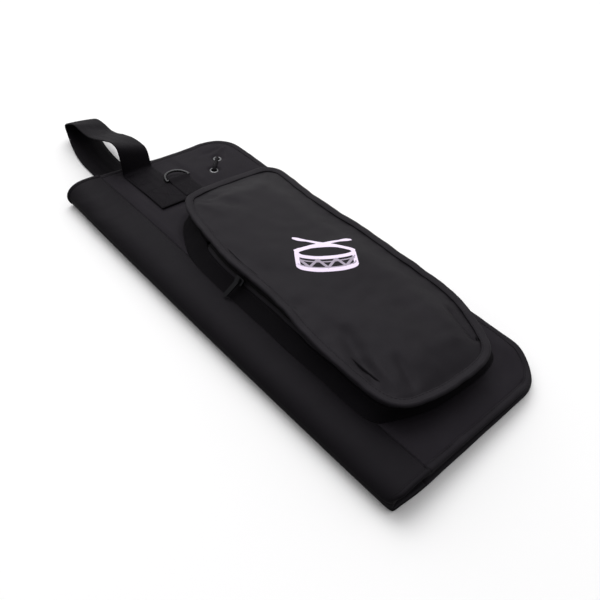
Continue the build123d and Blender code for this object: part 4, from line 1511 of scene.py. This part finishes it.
# ---------------------------------------------------- grommets, cord, knots
gob, wob_ = [], []
upn = np.array([SN, 0, CS])
for k, (gx, gy) in enumerate(GROM):
    o = FD(np.array([gx, gy, 0.0]))
    prof = [(2.55, -4.6), (2.55, -1.0), (2.62, 0.1), (2.9, 0.7), (3.5, 1.12), (4.2, 1.15), (4.9, 0.85), (5.4, 0.35),
            (5.45, 0.05), (4.6, -0.1), (3.6, -0.1), (3.15, -0.5), (3.12, -4.6)]
    gob.append(revolve("g", o, upn, prof, CHROME, 44))
    prof2 = [(3.2, -4.55), (3.3, -3.95), (4.2, -3.75), (5.2, -3.9), (5.45, -4.3), (5.0, -4.55), (4.0, -4.65)]
    wob_.append(revolve("w", o, upn, prof2, CHROME, 44))
ob = join("grommet_rings", gob)
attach(ob, "front_half")
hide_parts("grommets")
ob = join("grommet_back_washers", wob_)
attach(ob, "front_half")
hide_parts("grommet_washers")
(g1x, g1y), (g2x, g2y) = GROM
cp = [(g1x, g1y, -5.2), (g1x, g1y, -2.0), (g1x + 0.1, g1y + 0.1, 1.4), (g1x + 2.4, g1y + 2.4, 3.5), (g1x + 6.5, g1y + 6.5, 3.8),
      ((g1x + g2x) / 2, (g1y + g2y) / 2, 3.3), (g2x - 6.5, g2y - 6.5, 3.8), (g2x - 2.4, g2y - 2.4, 3.5),
      (g2x - 0.1, g2y - 0.1, 1.4), (g2x, g2y, -2.0), (g2x, g2y, -5.2)]
cl = resample(catmull(np.array(cp), per=8), step=0.8)
ob = tube("hanging_cord_braid", FD(cl), 1.9, CORD, sides=16, up=(0.5, 0.5, 0.3))
# braid relief
me = ob.data
me.update()
cc = FD(cl)
for v in me.vertices:
    i, j = v.index // 16, v.index % 16
    if i < len(cc):
        cvec = Vector(cc[i] * MM)
        d = v.co - cvec
        ph = i * 0.8 / 2.2 * 2 * math.pi
        k = 1 + 0.055 * (math.sin(ph + j * math.pi / 4) * math.sin(ph - j * math.pi / 4) * 2)
        v.co = cvec + d * k
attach(ob, "front_half")
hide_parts("hanging_cord")
kn = []
for k, (gx, gy) in enumerate(GROM):
    a = np.linspace(0, 2 * math.pi, 72, endpoint=False)
    x = (np.sin(a) + 2 * np.sin(2 * a)) * 0.72
    y = (np.cos(a) - 2 * np.cos(2 * a)) * 0.72
    z = -np.sin(3 * a) * 0.95
    P = FD(np.column_stack([gx + x, gy + y, -6.75 + z * 0.75]))
    kn.append(tube("k", P, 1.05, CORD, sides=10, closed=True))
ob = join("cord_end_knots", kn)
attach(ob, "front_half")
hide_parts("cord_knots")

# --------------------------------------------- metal parts kept from the CAD
def finish_node(node, mat, bevel=0.25, seg=3):
    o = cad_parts[node]
    o.data.materials.clear()
    o.data.materials.append(mat)
    if bevel:
        mo = o.modifiers.new("edge", "BEVEL")
        mo.width = bevel * MM
        mo.segments = seg
        mo.limit_method = "ANGLE"
        mo.angle_limit = math.radians(35)
        mo.harden_normals = False
    return o


for node, mat, bv in (("d_ring", RINGM, 0), ("pocket_slider", BLACKM, 0.3), ("pocket_pull", PULLM, 0.3),
                      ("main_slider_handle_end", BLACKM, 0.3), ("main_slider_foot_end", BLACKM, 0.3),
                      ("main_pull_handle_end", PULLM, 0.3), ("main_pull_foot_end", PULLM, 0.3)):
    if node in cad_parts:
        finish_node(node, mat, bv)

# -------------------------------------------------------- floor and light
floor_me = bpy.data.meshes.new("floor")
floor_me.from_pydata([(-6, -6, -0.0006), (6, -6, -0.0006), (6, 6, -0.0006), (-6, 6, -0.0006)], [], [[0, 1, 2, 3]])
floor = bpy.data.objects.new("floor", floor_me)
scene.collection.objects.link(floor)
fm = Mat("floor_paper")
nf = fm.noise(fm.coord("Object"), 3.0, 2.0)
fm.put(fm.b.inputs["Base Color"], fm.ramp(nf, [(0.0, (0.93, 0.93, 0.93)), (1.0, (0.95, 0.95, 0.95))]))
fm.b.inputs["Roughness"].default_value = 0.9
fm.b.inputs["Specular IOR Level"].default_value = 0.1
floor_me.materials.append(fm.mat)

world = bpy.data.worlds.new("studio") if scene.world is None else scene.world
scene.world = world
world.use_nodes = True
wt = world.node_tree
wt.nodes.clear()
w_out = wt.nodes.new("ShaderNodeOutputWorld")
bg = wt.nodes.new("ShaderNodeBackground")
tc = wt.nodes.new("ShaderNodeTexCoord")
dot = wt.nodes.new("ShaderNodeVectorMath")
dot.operation = "DOT_PRODUCT"
dot.inputs[1].default_value = (0.38, 0.52, 0.765)
cr = wt.nodes.new("ShaderNodeValToRGB")
mr = wt.nodes.new("ShaderNodeMath")
mr.operation = "MULTIPLY_ADD"
mr.inputs[1].default_value = 0.5
mr.inputs[2].default_value = 0.5
wt.links.new(tc.outputs["Generated"], dot.inputs[0])
wt.links.new(dot.outputs["Value"], mr.inputs[0])
wt.links.new(mr.outputs[0], cr.inputs[0])
els = cr.color_ramp.elements
els[0].position = 0.0
els[0].color = (0.15, 0.15, 0.15, 1)
els[1].position = 1.0
els[1].color = (1.28, 1.27, 1.28, 1)
for pos_, v in ((0.42, 0.18), (0.56, 0.27), (0.72, 0.43), (0.88, 0.66), (0.94, 0.80), (0.975, 1.0)):
    e = els.new(pos_)
    e.color = (v, v * 0.995, v, 1)
wt.links.new(cr.outputs[0], bg.inputs[0])
bg.inputs[1].default_value = 1.5
wt.links.new(bg.outputs[0], w_out.inputs[0])
floor.visible_diffuse = False
floor.visible_glossy = False


def area(name, loc, target, size, power, size_y=None, color=(1, 1, 1)):
    ld = bpy.data.lights.new(name, "AREA")
    ld.energy = power
    ld.shape = "RECTANGLE"
    ld.size = size
    ld.size_y = size_y or size
    ld.color = color
    lo = bpy.data.objects.new(name, ld)
    lo.location = loc
    d = Vector(target) - Vector(loc)
    lo.rotation_euler = d.to_track_quat("-Z", "Y").to_euler()
    scene.collection.objects.link(lo)
    return lo


area("soft_back", (0.30, 0.75, 1.6), (0, 0.0, 0), 1.4, 12, 1.2)

scene.view_settings.view_transform = "Standard"
scene.view_settings.look = "None"
scene.view_settings.exposure = 0.0
scene.view_settings.gamma = 1.0
